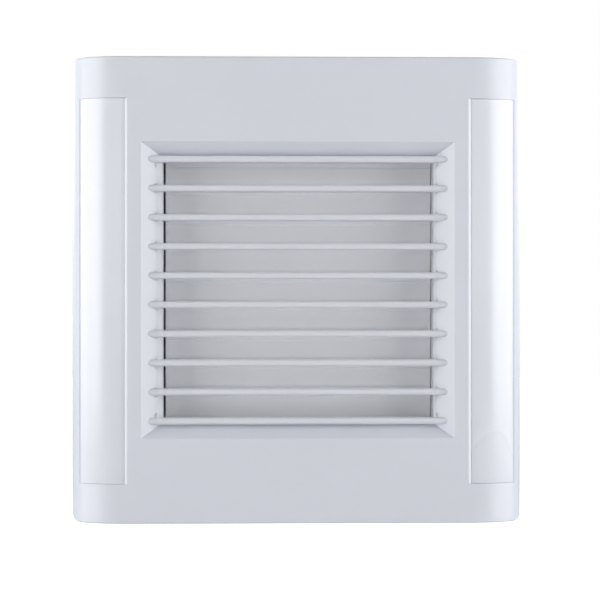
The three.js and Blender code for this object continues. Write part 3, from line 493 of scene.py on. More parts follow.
def metal_group():
    """Worked metal: fine lines along one way, and cloudy patches."""
    colour = "NodeSocketColor"
    number = "NodeSocketFloat"
    tree, given, out = group(
        "Worked metal",
        [
            ("Colour", colour, (0.6, 0.6, 0.6, 1)),
            ("Roughness", number, 0.35),
            ("Line scale", "NodeSocketVector", (900.0, 900.0, 900.0)),
        ],
        [("Colour", colour), ("Roughness", number), ("Height", number)],
    )
    place = tree.nodes.new("ShaderNodeTexCoord").outputs["Object"]
    stretch = node(tree, "ShaderNodeVectorMath", {"operation": "MULTIPLY"})
    tree.links.new(place, stretch.inputs[0])
    tree.links.new(given.outputs["Line scale"], stretch.inputs[1])
    lines = node(tree, "ShaderNodeTexNoise", Scale=1.0, Detail=3.0, Roughness=0.6)
    tree.links.new(stretch.outputs["Vector"], lines.inputs["Vector"])
    cloud = node(tree, "ShaderNodeTexNoise", Scale=260.0, Detail=2.0)
    tree.links.new(place, cloud.inputs["Vector"])
    shade = node(tree, "ShaderNodeHueSaturation")
    tree.links.new(given.outputs["Colour"], shade.inputs["Color"])
    tree.links.new(span(tree, cloud.outputs["Fac"], 0.8, 1.12), shade.inputs["Value"])
    tree.links.new(shade.outputs["Color"], out.inputs["Colour"])
    patchy = scaled(tree, given.outputs["Roughness"], span(tree, cloud.outputs["Fac"], 0.8, 1.3))
    tree.links.new(patchy, out.inputs["Roughness"])
    tree.links.new(lines.outputs["Fac"], out.inputs["Height"])
    return tree


# Texture lines per metre along X, Y and Z for each kind of worked metal.
LINE_SCALES = {"x": (300.0, 2500.0, 2500.0), "stack": (60.0, 2000.0, 60.0), "wire": (2400.0, 2400.0, 150.0)}
GROUPS = {}
MATERIALS = {}


def finish_material(look):
    """The material of a finish, made once."""
    if look in MATERIALS:
        return MATERIALS[look]
    if not GROUPS:
        GROUPS.update(moulding=moulding_group(), metal=metal_group())
    finish = FINISHES[look]
    made = bpy.data.materials.new(look + "_finish")
    made.use_nodes = True
    tree = made.node_tree
    shader = tree.nodes["Principled BSDF"]
    is_metal = "lines" in finish
    effect = tree.nodes.new("ShaderNodeGroup")
    effect.node_tree = GROUPS["metal" if is_metal else "moulding"]
    effect.inputs["Colour"].default_value = (*getattr(bpy.context.scene.fan_colours, look), 1)
    effect.inputs["Roughness"].default_value = finish["rough"]
    if is_metal:
        effect.inputs["Line scale"].default_value = LINE_SCALES[finish["lines"]]
    else:
        effect.inputs["Grain"].default_value = finish["grain"]
    shader.inputs["Metallic"].default_value = 1.0 if is_metal else 0.0
    shader.inputs["Coat Weight"].default_value = finish.get("coat", 0.0)
    shader.inputs["Coat Roughness"].default_value = 0.2
    shader.inputs["IOR"].default_value = 1.5
    bump = tree.nodes.new("ShaderNodeBump")
    bump.inputs["Strength"].default_value = 0.25
    bump.inputs["Distance"].default_value = 0.00002
    tree.links.new(effect.outputs["Colour"], shader.inputs["Base Color"])
    tree.links.new(effect.outputs["Roughness"], shader.inputs["Roughness"])
    tree.links.new(effect.outputs["Height"], bump.inputs["Height"])
    tree.links.new(bump.outputs["Normal"], shader.inputs["Normal"])
    MATERIALS[look] = made
    return made


# ---- Shapes of the front ----


def ellipse_point(turn, sunk):
    """A point of the cover's curved side at a turn from the flat face, sunk below its surface."""
    normal = Vector((math.sin(turn) / CURVE_WIDTH, -math.cos(turn) / CURVE_DEPTH)).normalized()
    x = COVER_HALF_X - CURVE_WIDTH + CURVE_WIDTH * math.sin(turn) - sunk * normal.x
    y = COVER_FRONT + CURVE_DEPTH - CURVE_DEPTH * math.cos(turn) - sunk * normal.y
    return x, y


def surface_y(x, sunk):
    """How far back the cover's surface is at x, sunk below it."""
    if x <= COVER_HALF_X - CURVE_WIDTH:
        return COVER_FRONT + sunk
    low, high = 0.0, math.pi / 2
    for _ in range(40):
        middle = (low + high) / 2
        low, high = (middle, high) if ellipse_point(middle, sunk)[0] < x else (low, middle)
    return ellipse_point(low, sunk)[1]


def plan_outline(sunk, back, steps=28):
    """The cover's outline seen from above, left to right and open at the back."""
    right = [ellipse_point(math.pi / 2 * i / steps, sunk) for i in range(steps + 1)]
    right.append((COVER_HALF_X - sunk, back))
    return [(-x, y) for x, y in reversed(right)] + right


def round_levels(radius, steps):
    """Depths under an end face, from where its rounding begins to the face."""
    return [radius - radius * math.sin(math.pi / 2 * k / steps) for k in range(steps + 1)]


def round_inset(radius, depth):
    """How far a rounding has drawn in at a depth under an end face."""
    return radius - math.sqrt(max(0, radius**2 - (radius - depth) ** 2)) if depth < radius else 0.0


def cover_body(sunk, half_z, back, edge=0.0):
    """The cover's body: its plan outline stacked up, with rounded edges and corners."""
    shift = sunk * 0.8
    rings = []
    for sign, corner in ((-1, max(0.4, LOW_CORNER - shift)), (1, max(0.4, TOP_CORNER - shift))):
        levels = round_levels(corner, 6)
        if edge > 0:
            levels = [depth for depth in levels if depth > edge] + round_levels(edge, 4)
        rows = []
        for depth in levels:
            inset = round_inset(edge, depth)
            limit = COVER_HALF_X - sunk - max(round_inset(corner, depth), inset)
            z = sign * (half_z - depth)
            rows.append([(max(-limit, min(limit, x)), y, z) for x, y in plan_outline(sunk + inset, back)])
        rings += rows[::-1] if sign < 0 else rows
    return stacked(rings)


def column(side, near, far, inner, outer, low, top, backmost=None, steps=24):
    """The layer between two depths under the cover's surface, in one column."""
    xs = [inner + (outer - inner) * i / steps for i in range(steps + 1)]
    front = [(side * x, surface_y(x, near)) for x in xs]
    back = [(side * x, surface_y(x, far)) for x in reversed(xs)]
    if backmost is not None:
        back = [(x, min(y, backmost)) for x, y in back]
    return prism(front + back, "z", low, top)


def box_ring(y, half_x, half_z):
    """The corners of a rectangle across the Y axis."""
    return [(-half_x, y, -half_z), (half_x, y, -half_z), (half_x, y, half_z), (-half_x, y, half_z)]


def funnel_space(grown, front=COVER_FRONT - PAST, back=COVER_FRONT + FUNNEL_DEPTH):
    """The space inside the funnel, shrunk or grown all round."""
    slopes = [(a - b) / FUNNEL_BEVEL for a, b in zip(FUNNEL_FRONT, FUNNEL_THROAT)]
    ahead = COVER_FRONT - front
    wide = [edge + slope * ahead + grown for edge, slope in zip(FUNNEL_FRONT, slopes)]
    throat = [edge + grown for edge in FUNNEL_THROAT]
    bevel_end = COVER_FRONT + FUNNEL_BEVEL
    return stacked([box_ring(front, *wide), box_ring(bevel_end, *throat), box_ring(back, *throat)])


def front_cover(sizes):
    """The cover's shell, with a recess for each trim, the cups of its screws and the funnel."""
    cover = cut(
        cover_body(0, COVER_HALF_Z, COVER_BACK, sizes.cover_edge / MM),
        cover_body(COVER_WALL, COVER_HALF_Z - COVER_WALL, COVER_BACK + PAST),
    )
    added, removed = [], []
    for side in (-1, 1):
        inner, outer = TRIM_INNER - RECESS_FLOOR, TRIM_OUTER + RECESS_FLOOR
        low, top = TRIM_LOW - RECESS_FLOOR, TRIM_TOP + RECESS_FLOOR
        added.append(column(side, 1.0, RECESS + RECESS_FLOOR, inner, outer, low, top, FLOOR_BACK))
        removed.append(column(side, -PAST, RECESS, TRIM_INNER, TRIM_OUTER, TRIM_LOW, TRIM_TOP))
    added += [rod("y", at, CUP_RADIUS, CUP_FRONT, CUP_BACK) for at in COVER_SCREWS]
    removed += [rod("y", at, CUP_BORE, COVER_FRONT - PAST, COVER_SEAT) for at in COVER_SCREWS]
    removed += [rod("y", at, COVER_SCREW_HOLE, COVER_FRONT, CUP_BACK + PAST) for at in COVER_SCREWS]
    for side in (-1, 1):
        section = [(side * (TRIM_INNER + x), COVER_FRONT + y) for x, y in CHAMFER]
        removed.append(prism(section, "z", TRIM_LOW, TRIM_TOP))
    cover = cut(join(cover, *added), *removed)
    cover = join(cover, funnel_space(COVER_WALL, COVER_FRONT + 0.6))
    return cut(cover, funnel_space(0, back=COVER_FRONT + FUNNEL_DEPTH + PAST))


def side_trim(side, sizes):
    """A trim follows the cover's curve. Its outer edge lies nearly flush, its inner one a step down."""
    inner, outer, steps = TRIM_INNER + FINE_GAP, TRIM_OUTER - FINE_GAP, 32
    front, back = [], []
    for i in range(steps + 1):
        share = i / steps
        x = inner + (outer - inner) * share
        sink = sizes.trim_sink_inside * (1 - share) + sizes.trim_sink_outside * share
        front.append((side * x, surface_y(x, sink / MM)))
        back.append((side * x, surface_y(x, TRIM_BACK)))
    trim = prism(front + back[::-1], "z", TRIM_LOW + FINE_GAP, TRIM_TOP - FINE_GAP)
    return soften(trim, sizes.trim_edge / MM, angle=40, segments=3)


def louvre_bar(z, half):
    """A bar with a round nose. half is half its thickness."""
    nose = []
    for k in range(13):
        turn = math.pi * k / 12
        nose.append((BAR_NOSE + half - half * math.sin(turn), z + half * math.cos(turn)))
    outline = [(BAR_BACK, z + half), *nose, (BAR_BACK, z - half)]
    return prism(outline, "x", -FUNNEL_FRONT[0], FUNNEL_FRONT[0])


def gusset(side, z, up, radius):
    """A small concave fillet where a rail's outer side meets a bar."""
    x, front = RAILS[side][1:]
    out, inside, below = radius + GUSSET_LIP, side * (x - GUSSET_LIP), z - up * GUSSET_LIP
    outline = [(inside, below), (side * (x + out), below)]
    for k in range(9):
        turn = math.pi / 2 * k / 8
        outline.append((side * (x + out * (1 - math.sin(turn))), z + up * radius * (1 - math.cos(turn))))
    outline.append((inside, z + up * radius))
    return prism(outline, "y", front - 0.6, front + 3)


def rail(side, tall, throat_end):
    """A side rail whose front slopes back from where it shows to its inner side."""
    inner, shown, front = RAILS[side]
    rise, back = (shown - inner - RAIL_LIP) * RAIL_SLOPE, throat_end - INTO
    outline = [
        (inner, back), (inner, front + rise + 0.5), (inner + RAIL_LIP, front + rise),
        (shown, front), (RAIL_HIDDEN, front + 3), (RAIL_HIDDEN, back),
    ]
    return prism([(side * x, y) for x, y in outline], "z", -tall, tall)


def louvre_grille(sizes):
    """The bars and rails, kept to the funnel's space, and the hooks behind its throat."""
    first = (BARS - 1) / 2 * PITCH
    half = sizes.bar_thickness / MM / 2
    throat_end = COVER_FRONT + FUNNEL_DEPTH
    places = [first - i * PITCH for i in range(BARS)]
    bars = [louvre_bar(z, half) for z in places]
    parts, behind = [], []
    tall = first + half - 0.3
    hook_front, hook_back = throat_end + GAP, throat_end + GAP + HOOK_THICK
    for side, (inner, _, _) in RAILS.items():
        parts.append(rail(side, tall, throat_end))
        for i, z in enumerate(places):
            if i > 0:
                parts.append(gusset(side, z + half, 1, END_GUSSET if i == BARS - 1 else GUSSET))
            if i < BARS - 1:
                parts.append(gusset(side, z - half, -1, END_GUSSET if i == 0 else GUSSET))
        across = sorted((side * inner, side * (FUNNEL_THROAT[0] - FINE_GAP)))
        behind.append(block(across, (throat_end - PAST, hook_back), (-tall, tall)))
        across = sorted((side * inner, side * (RAIL_BACK_OUTER + HOOK_REACH)))
        for z in HOOK_Z:
            behind.append(block(across, (hook_front, hook_back), (z - HOOK_HALF, z + HOOK_HALF), 0.2))
    return join(common(join(bars[0], *bars[1:], *parts), funnel_space(-FINE_GAP)), *behind)


# ---- Shapes of the shutter ----


def shutter_blade(sizes):
    """One blade, drawn with its hinge on the origin's height."""
    tilt = math.atan2(BLADE_LEAN, PITCH)
    long = math.hypot(PITCH, BLADE_LEAN) + BLADE_OVERLAP
    half = BLADE_THICK / 2
    down, across = Vector((math.sin(tilt), -math.cos(tilt))), Vector((math.cos(tilt), math.sin(tilt)))
    reach = math.sqrt(BARREL**2 - half**2)
    start = math.atan2(*(across * half + down * reach).yx)
    end = math.atan2(*(down * reach - across * half).yx) + 2 * math.pi
    turns = [start + (end - start) * k / 20 for k in range(21)]
    barrel = [(BARREL * math.cos(turn), BARREL * math.sin(turn)) for turn in turns]
    corners = [down * 3 - across * half, down * long - across * half]
    corners += [down * long + across * half, down * 3 + across * half]
    tip = rounded([tuple(corner) for corner in corners], sizes.blade_edge / MM)
    outline = [(y + BLADE_AXIS_Y, z) for y, z in barrel + tip]
    arm = []
    for (y, z), way in (((0, 0), 1), (CRANK_PIN, -1)):
        for k in range(9):
            turn = CRANK_REST + way * math.pi / 2 + math.pi * k / 8
            arm.append((BLADE_AXIS_Y + y + CRANK_HALF * math.cos(turn), z + CRANK_HALF * math.sin(turn)))
    axis, pin = (BLADE_AXIS_Y, 0), (BLADE_AXIS_Y + CRANK_PIN[0], CRANK_PIN[1])
    return join(
        prism(outline, "x", BLADE_LEFT, BLADE_RIGHT),
        rod("x", axis, PIN_RADIUS, CRANK_INNER - 0.1, BLADE_LEFT + 0.1, 24),
        rod("x", axis, PIN_RADIUS, BLADE_RIGHT - 0.1, PIN_RIGHT, 24),
        prism(arm, "x", CRANK_OUTER, CRANK_INNER),
        rod("x", pin, CRANK_PIN_RADIUS, CRANK_PIN_END, CRANK_OUTER + 0.1, 24),
    )


def shutter_frame():
    """An open frame with the blades' bearings, its screws' ears and the lug over the spring."""
    x, z, wall = SHUTTER_X, SHUTTER_Z, SHUTTER_WALL
    front, back = SHUTTER_DEPTH
    shell = cut(
        block((-x - wall, x + wall), (front, back), (-z - wall, z + wall), 0.4),
        block((MOUTH_LEFT, MOUTH_RIGHT), (front - PAST, back + PAST), (-z, z)),
    )
    added = []
    for side in (-1, 1):
        lip = sorted((side * SHUTTER_LIP_Z, side * (z + INTO)))
        added.append(block((-x - INTO, x + INTO), (front, front + SHUTTER_LIP), lip))
    for ear_x, ear_z in SHUTTER_SCREWS:
        tall = sorted((math.copysign(z + INTO, ear_z), ear_z))
        added.append(block((ear_x - EAR_RADIUS, ear_x + EAR_RADIUS), (EAR_FRONT, EAR_BACK), tall, 0.2))
        added.append(rod("y", (ear_x, ear_z), EAR_RADIUS, EAR_FRONT, EAR_BACK, 40, 0.2))
    lug, out, lug_top = (ACTUATOR_Y - LUG_HALF, ACTUATOR_Y + LUG_HALF), -x - wall, SPRING_SEAT + LUG_WALL
    added.append(block((out - LUG_WALL, -x), lug, (z, z + wall)))
    added.append(block((out - LUG_WALL, out), lug, (z, lug_top)))
    added.append(block((ACTUATOR_X - LUG_HALF, out), lug, (SPRING_SEAT, lug_top)))
    shell = join(shell, *added)
    holes = [rod("y", at, EAR_HOLE, -20, -15, 24) for at in SHUTTER_SCREWS]
    for at in BLADE_Z:
        axis = (BLADE_AXIS_Y, at)
        left = (-x - wall - PAST, -x + INTO)
        holes.append(rod("x", axis, PIN_HOLE, x - INTO, x + wall + PAST, 24))
        holes.append(rod("x", axis, PIN_HOLE, *left, 24))
        holes.append(block(left, (BLADE_AXIS_Y, back + PAST), (at - MOUTH_HALF, at + MOUTH_HALF)))
    return cut(shell, *holes)


def tie_rod():
    """A flat bar with a hole for each blade's crank pin."""
    y = BLADE_AXIS_Y + CRANK_PIN[0]
    bar = block((ROD_OUTER, ROD_INNER), (y - ROD_HALF, y + ROD_HALF), (ROD_LOW, ROD_TOP), 0.35)
    return cut(bar, *[rod("x", (y, z + CRANK_PIN[1]), ROD_HOLE, -72, -67, 24) for z in BLADE_Z])


def actuator_body():
    """The thermal actuator's capsule, with its neck and its plug."""
    at = (ACTUATOR_X, ACTUATOR_Y)
    plug = (ACTUATOR_Y - PLUG_HALF, ACTUATOR_Y + PLUG_HALF)
    body = join(
        rod("z", at, ACTUATOR_RADIUS, ACTUATOR_LOW, ACTUATOR_HIGH, 64, 0.8),
        rod("z", at, NECK_RADIUS, ACTUATOR_HIGH - PAST, NECK_TOP, 48, 0.4),
        block((ACTUATOR_X + 4, PLUG_END), plug, (PLUG_LOW, PLUG_HIGH), 0.5),
    )
    return cut(body, rod("z", at, ACTUATOR_BORE, BORE_LOW, NECK_TOP + PAST, 32))


def actuator_plunger():
    """The pin that rises out of the actuator under the tie rod."""
    at, top = (ACTUATOR_X, ACTUATOR_Y), ROD_LOW - GAP
    under = top - PLUNGER_HEAD_THICK
    return join(
        rod("z", at, PLUNGER_RADIUS, BORE_LOW + 1, top - 1.9, 32, 0.2),
        rod("z", at, PLUNGER_HEAD, under, top, 40, 0.3),
    )


def return_spring():
    """A coil spring between the tie rod and its seat."""
    low, high, steps = SPRING_LOW + SPRING_WIRE, SPRING_SEAT - GAP - SPRING_WIRE, 16
    count = SPRING_TURNS * steps
    path = []
    for i in range(count + 1):
        turn = 2 * math.pi * i / steps
        x, y = ACTUATOR_X + SPRING_COIL * math.cos(turn), ACTUATOR_Y + SPRING_COIL * math.sin(turn)
        path.append((x, y, low + (high - low) * i / count))
    return tube(path, SPRING_WIRE, 12, 1)


# ---- Shapes of the housing and the outdoor side ----


def tray_shell(sizes):
    """The open tray and the lip that centres the cover on it."""
    wide, tall, wall = COVER_HALF_X - TRAY_INSET, COVER_HALF_Z - TRAY_INSET, TRAY_WALL
    outer = prism(rectangle(wide, tall, 3), "y", TRAY_FRONT, TRAY_BACK)
    soften(outer, sizes.housing_edge / MM, 60, 3, chosen=lambda p: abs(p.y - TRAY_BACK) < 0.01)
    inside = (TRAY_FRONT - PAST, TRAY_FLOOR)
    tray = cut(outer, block((-wide + wall, wide - wall), inside, (-tall + wall, tall - wall)))
    x, z, thick = wide - wall + 0.1, tall - wall + 0.1, TRAY_LIP
    lip = cut(
        block((-x, x), (TRAY_LIP_FRONT, TRAY_FLOOR - 2), (-z, z)),
        block((thick - x, x - thick), (TRAY_LIP_FRONT - PAST, TRAY_FLOOR), (thick - z, z - thick)),
    )
    return [tray, lip]


def housing(sizes):
    """The tray with its bosses and cradle, and every hole in its floor and walls."""
    sunk, through = TRAY_FLOOR + INTO, TRAY_FLOOR - PAST
    bosses = [rod("y", at, 4, -34.7, sunk, 40, 0.2) for at in COVER_SCREWS]
    bosses += [rod("y", at, 4, -16, sunk, 40, 0.2) for at in SHUTTER_SCREWS]
    bosses += [rod("y", at, 3.6, sunk, 2, 40, 0.2) for at in COLLAR_SCREWS]
    cradle = block((ACTUATOR_X - 9, ACTUATOR_X + 7.5), (-18, sunk), (-82, -72), 0.4)
    grommet = (GROMMET_X, GROMMET_Y)
    outside = TRAY_INSET - COVER_HALF_Z
    inside = outside + TRAY_WALL
    return cut(
        join(*tray_shell(sizes), *bosses, cradle),
        rod("y", (0, 0), TRAY_HOLE, -26, 4, 160),
        rod("z", (ACTUATOR_X, ACTUATOR_Y), ACTUATOR_RADIUS + GAP, -83, -71, 64),
        rod("z", grommet, 4.6, outside - PAST, inside + 3, 40),
        rod("z", grommet, 6.4, inside, inside + 5, 40),
        rod("y", lead_at(LEAD_RING, 0)[::2], 3.6, through, 0, 32),
        *[rod("y", at, 2.4, through, 0, 24) for at in CLAMPS],
        *[rod("y", at, 1.9, through, 3, 24) for at in COLLAR_SCREWS],
        *[rod("y", at, 1.8, TRAY_FRONT, TRAY_FLOOR - 1.5, 24) for at in SHUTTER_SCREWS],
        *[rod("y", at, 1.9, -36, -22, 24) for at in COVER_SCREWS],
    )


def gasket(start, sizes):
    """A flat ring seal."""
    end = start + SEAL_THICK
    ring = turned([(SEAL_INNER, start), (SEAL_OUTER, start), (SEAL_OUTER, end), (SEAL_INNER, end)], 160)
    return soften(ring, sizes.seal_edge / MM, 60, 3)


def outdoor_frame(sizes):
    """A flange with a square hood, its clamp screws' bosses and the round hole."""
    front = PANE + SEAL_THICK + GAP
    flange = prism(rectangle(98, 98, 14, 12), "y", front, front + 3)
    soften(flange, sizes.housing_edge / MM, 60, 3, chosen=lambda p: p.y > front + 2.9)
    hood = prism(rectangle(78, 78, 8, 10), "y", front + INTO, HOOD_END)
    soften(hood, sizes.hood_edge / MM, 60, 3, chosen=lambda p: p.y > HOOD_END - 0.1)
    plate = cut(join(flange, hood), prism(rectangle(75.7, 75.7, 5.7, 10), "y", front + 3, HOOD_END + PAST))
    plate = cut(plate, rod("y", (0, 0), 66.5, front - PAST, front + 8, 160))
    bosses = [rod("y", at, 4.2, front, 22, 48, 0.4) for at in CLAMPS]
    holes = [rod("y", at, 2.3, front - PAST, 20, 32) for at in CLAMPS]
    lead = lead_at(LEAD_RING, 0)[::2]
    return cut(join(plate, *bosses), rod("y", lead, 2.2, front - PAST, front + 8, 24), *holes)


def outdoor_louvre(sizes):
    """A square frame inside the hood with slanting slats."""
    outer = prism(rectangle(SLAT_FRAME, SLAT_FRAME, 5.5, 8), "y", 52, 63, 0.3, 60)
    reach = SLAT_FRAME - SLAT_RAIL
    louvre = cut(outer, prism(rectangle(reach, reach, 3.2, 6), "y", 50, 65))
    half, thick = SLAT_WIDTH / 2, SLAT_THICK / 2
    corners = [(-half, -thick), (half, -thick), (half, thick), (-half, thick)]
    outline = rounded(corners, sizes.slat_edge / MM, 4)
    slope = Matrix.Rotation(SLAT_SLOPE, 2)
    slats = []
    for i in range(SLATS):
        middle = Vector((SLAT_Y, ((SLATS - 1) / 2 - i) * SLAT_PITCH))
        placed = [tuple(slope @ Vector(point) + middle) for point in outline]
        slats.append(prism(placed, "x", -reach - INTO, reach + INTO))
    return join(louvre, *slats)


# ---- Shapes of the collar, motor and impeller ----


def duct_collar():
    """The tube through the pane, with its ears, four arms and the motor's cup."""
    front, back, end = COLLAR_FRONT, COLLAR_BACK, COLLAR_END
    inner, outer, flange = COLLAR_INNER, COLLAR_OUTER, COLLAR_FLANGE
    tube_wall = [
        (inner, front), (flange, front), (flange, back), (outer, back),
        (outer, end - 0.4), (outer - 0.4, end), (inner + 0.4, end), (inner, end - 0.4),
    ]
    cup = [
        (3.4, 19), (28.2, 19), (28.8, 19.3), (MOTOR_RADIUS, 20), (MOTOR_RADIUS, 46), (27, 46), (27, 21),
        (7.5, 21), (7.5, 25.7), (5.3, 25.7), (5.3, 20), (3.4, 20),
    ]
    arms = [spun(block((28, 61), (30, 40), (-1.5, 1.5), 0.5), ARM_ANGLE + math.pi / 2 * i) for i in range(4)]
    ears = []
    for x, z in COLLAR_SCREWS:
        ears.append(rod("y", (x, z), 4.5, front, back, 48))
        ears.append(spun(block((61, SCREW_RING), (front, back), (-4.5, 4.5)), math.atan2(z, x)))
    bosses = [rod("y", at, 3, 40.5, 46, 32) for at in CAP_SCREWS]
    collar = join(turned(tube_wall, 160), turned(cup, 96), *arms, *ears, *bosses)
    return cut(
        collar,
        spun(rod("x", (LEAD_DEPTH, 0), 2, 24, 64, 24), ARM_ANGLE),
        *[rod("y", at, 2, front - PAST, back + PAST, 24) for at in COLLAR_SCREWS],
        *[rod("y", at, 1.5, 41, 47, 24) for at in CAP_SCREWS],
    )


def motor_end_cap():
    """The motor's lid, with the seat of its rear bearing."""
    front, rim, seat = CAP_FRONT, CAP_RIM, REAR_BEARING
    profile = [
        (3.2, front), (3.2, rim), (7, rim), (7.6, rim - 0.5), (9, rim - 0.5), (9.6, rim), (28, rim),
        (28.7, rim - 0.3), (MOTOR_RADIUS, rim - 1), (MOTOR_RADIUS, front),
        (7.5, front), (7.5, seat), (5.3, seat), (5.3, front),
    ]
    return cut(turned(profile, 96), *[rod("y", at, 1.6, front - PAST, front + 4, 24) for at in CAP_SCREWS])


def stator_core():
    """The laminated ring with its four poles."""
    start, end = CORE_DEPTH
    core = turned([(20, start), (26.7, start), (26.7, end), (20, end)], 96)
    core = join(core, block((-21, 21), CORE_DEPTH, (-4, 4)), block((-4, 4), CORE_DEPTH, (-21, 21)))
    return cut(core, rod("y", (0, 0), 12.2, start - PAST, end + PAST, 96))


def rotor():
    """The laminated rotor, chamfered at both ends."""
    start, end, radius = CORE_DEPTH[0] - 1, CORE_DEPTH[1] + 0.3, 11.6
    return turned([
        (ROTOR_BORE, start), (radius - 0.3, start), (radius, start + 0.3),
        (radius, end - 0.3), (radius - 0.3, end), (ROTOR_BORE, end),
    ])


def shaft():
    """The motor's shaft, chamfered at both ends."""
    low, high, radius = -4.4, 47.2, 2
    profile = [
        (0, low), (radius - 0.3, low), (radius, low + 0.3),
        (radius, high - 0.3), (radius - 0.3, high), (0, high),
    ]
    return turned(profile, 48, closed=False)


def bearing(start):
    """A sleeve bearing from its start along the duct's axis."""
    end, outer = start + 5.5, 5
    ring = [
        (ROTOR_BORE, start), (outer - 0.3, start), (outer, start + 0.3),
        (outer, end - 0.3), (outer - 0.3, end), (ROTOR_BORE, end),
    ]
    return turned(ring, 64)


def coil(index, sizes):
    """One pole's winding."""
    winding = cut(
        block((13.5, 18), (25, 43), (-7.5, 7.5), sizes.coil_edge / MM),
        block((12.5, 19), (27.7, 40.3), (-4.3, 4.3)),
    )
    return spun(winding, -math.pi / 2 * index)


def impeller_blade():
    """One propeller blade: a cambered section twisted from root to tip."""
    rings = []
    stations = [-0.5 + i / 14 for i in range(15)]
    round_section = [(1, along) for along in stations] + [(-1, along) for along in reversed(stations)]
    for k in range(13):
        share = k / 12
        radius = 19 + 39.6 * share
        tilt = math.radians(48 - 21 * share)
        chord, thick = 20 + 14 * share, 2.2 - 0.6 * share
        section = []
        for side, along in round_section:
            taper = 0.5 * math.sqrt(max(0.12, 1 - (2 * along) ** 4))
            bow = 0.08 * chord * (1 - 4 * along * along) + side * thick * taper
            ahead = along * chord * math.cos(tilt) - bow * math.sin(tilt)
            y = 7.75 + along * chord * math.sin(tilt) + bow * math.cos(tilt)
            section.append((radius * math.cos(ahead / radius), y, radius * math.sin(ahead / radius)))
        rings.append(section)
    return stacked(rings)


def impeller():
    """A hub with a domed nose and seven blades, which end short of the collar."""
    profile = [
        (ROTOR_BORE, 0), (6, 0), (6.6, -0.8), (7.4, -1), (15.4, -1), (17.6, -0.5), (19.2, 1),
        (HUB_RADIUS, 3.2), (HUB_RADIUS, 16.5), (18.2, 16.5), (18.2, 4), (16.5, 1.8), (15, 1.2),
        (6, 1.2), (6, 13.5), (ROTOR_BORE, 13.5),
    ]
    root, tip = IMPELLER_ROOT, IMPELLER_TIP
    blade = common(impeller_blade(), turned([(root, -3), (tip, -3), (tip, 18.5), (root, 18.5)], 160))
    step = -2 * math.pi / IMPELLER_BLADES
    blades = [spun(blade.copy(), step * i) for i in range(IMPELLER_BLADES)]
    blade.free()
    return join(turned(profile, 96), *blades)


def impeller_nut():
    """A fluted nut that closes over the shaft's end."""
    seat = -GAP
    profile = [
        (0, seat - 6), (3, seat - 6), (4.4, seat - 5.4), (5, seat - 4.2), (5, seat - 1), (6, seat - 0.8),
        (6, seat), (0, seat),
    ]
    nut = turned(profile, 48, closed=False)
    flutes = []
    for i in range(8):
        at = (5.9 * math.cos(math.pi / 4 * i), 5.9 * math.sin(math.pi / 4 * i))
        flutes.append(rod("y", at, 1.4, seat - 7, seat - 1.1, 16))
    return cut(nut, rod("y", (0, 0), ROTOR_BORE, seat - 4.4, seat + PAST, 32), *flutes)


# ---- Wiring and fasteners ----


def terminal_block():
    """A block of three poles, each with two screw wells, parted by grooves."""
    low, high, front, left, right = -92, -78, -16, 64, 92
    body = block((left, right), (front, TRAY_FLOOR - GAP), (low, high), 0.5)
    pole = (right - left) / 3
    tools = []
    for i in range(3):
        for z in (-88, -82):
            tools.append(rod("y", (left + pole * (i + 0.5), z), 2, front - PAST, front + 4, 24))
    for x in (left + pole, left + 2 * pole):
        tools.append(block((x - 0.5, x + 0.5), (front - PAST, front + 5), (low - PAST, high + PAST)))
    return cut(body, *tools)


def terminal_cover():
    """A shell over the terminals, open at the back, for the leads and for the cord."""
    back = TRAY_FLOOR - GAP
    shell = block((61.7, 94.3), (-18.3, back + 3), (-94.3, -75.7), 0.8)
    behind = block((60, 96), (back, back + 5), (-96, -74))
    inside = block((63, 93), (-17, back + PAST), (-93, -77))
    leads = block((59, 64.5), (-13, back + PAST), (-91, -82))
    cord = block((65, 75), (-15, back + PAST), (-97, -92))
    return cut(cut(shell, behind, inside), leads, cord)


def cable_grommet():
    """A grooved ring in the hole of the tray's lower wall."""
    low = TRAY_INSET - COVER_HALF_Z
    top = low + TRAY_WALL
    profile = [
        (3.2, low - 1.3), (3.5, low - 1.6), (5.4, low - 1.6), (5.9, low - 1.2),
        (5.9, low - 0.3), (4.3, low - 0.3), (4.3, top + 0.3), (5.9, top + 0.3),
        (5.9, top + 0.7), (5.1, top + 1.6), (3.5, top + 1.6), (3.2, top + 1.3),
    ]
    ring = turned(profile, 64)
    bmesh.ops.rotate(ring, cent=(0, 0, 0), matrix=Matrix.Rotation(math.pi / 2, 3, "X"), verts=ring.verts)
    return moved(ring, (GROMMET_X, GROMMET_Y, 0))


def lead_at(radius, y):
    """A point over the arm that the motor's lead follows."""
    return (radius * math.cos(ARM_ANGLE), y, radius * math.sin(ARM_ANGLE))


def motor_lead():
    """The way from the terminals through the tray's floor, behind the collar and into the motor."""
    inside = [(63.6, -9.5, -85), (58, -9, -84), (48, -8.6, -77.5), (38, -8.4, -68.5)]
    behind = [
        (72.2, -6.2), (71, -2), (71, 12), (71, 28), (70, 37), (66.5, 41.6),
        (62, LEAD_DEPTH), (48, LEAD_DEPTH), (34, LEAD_DEPTH), (25, LEAD_DEPTH),
    ]
    return inside + [lead_at(radius, y) for radius, y in behind]


def actuator_lead():
    """The way from the terminals along the bottom of the tray to the actuator."""
    return [
        (63.6, -9.5, -88.8), (55, -9, -90), (40, -8.4, -93), (15, -8.2, -94.5), (-15, -8.2, -94.5),
        (-38, -9, -93), (-47, -13, -91), (-53, -18, -90), (-58.6, -20, -90),
    ]


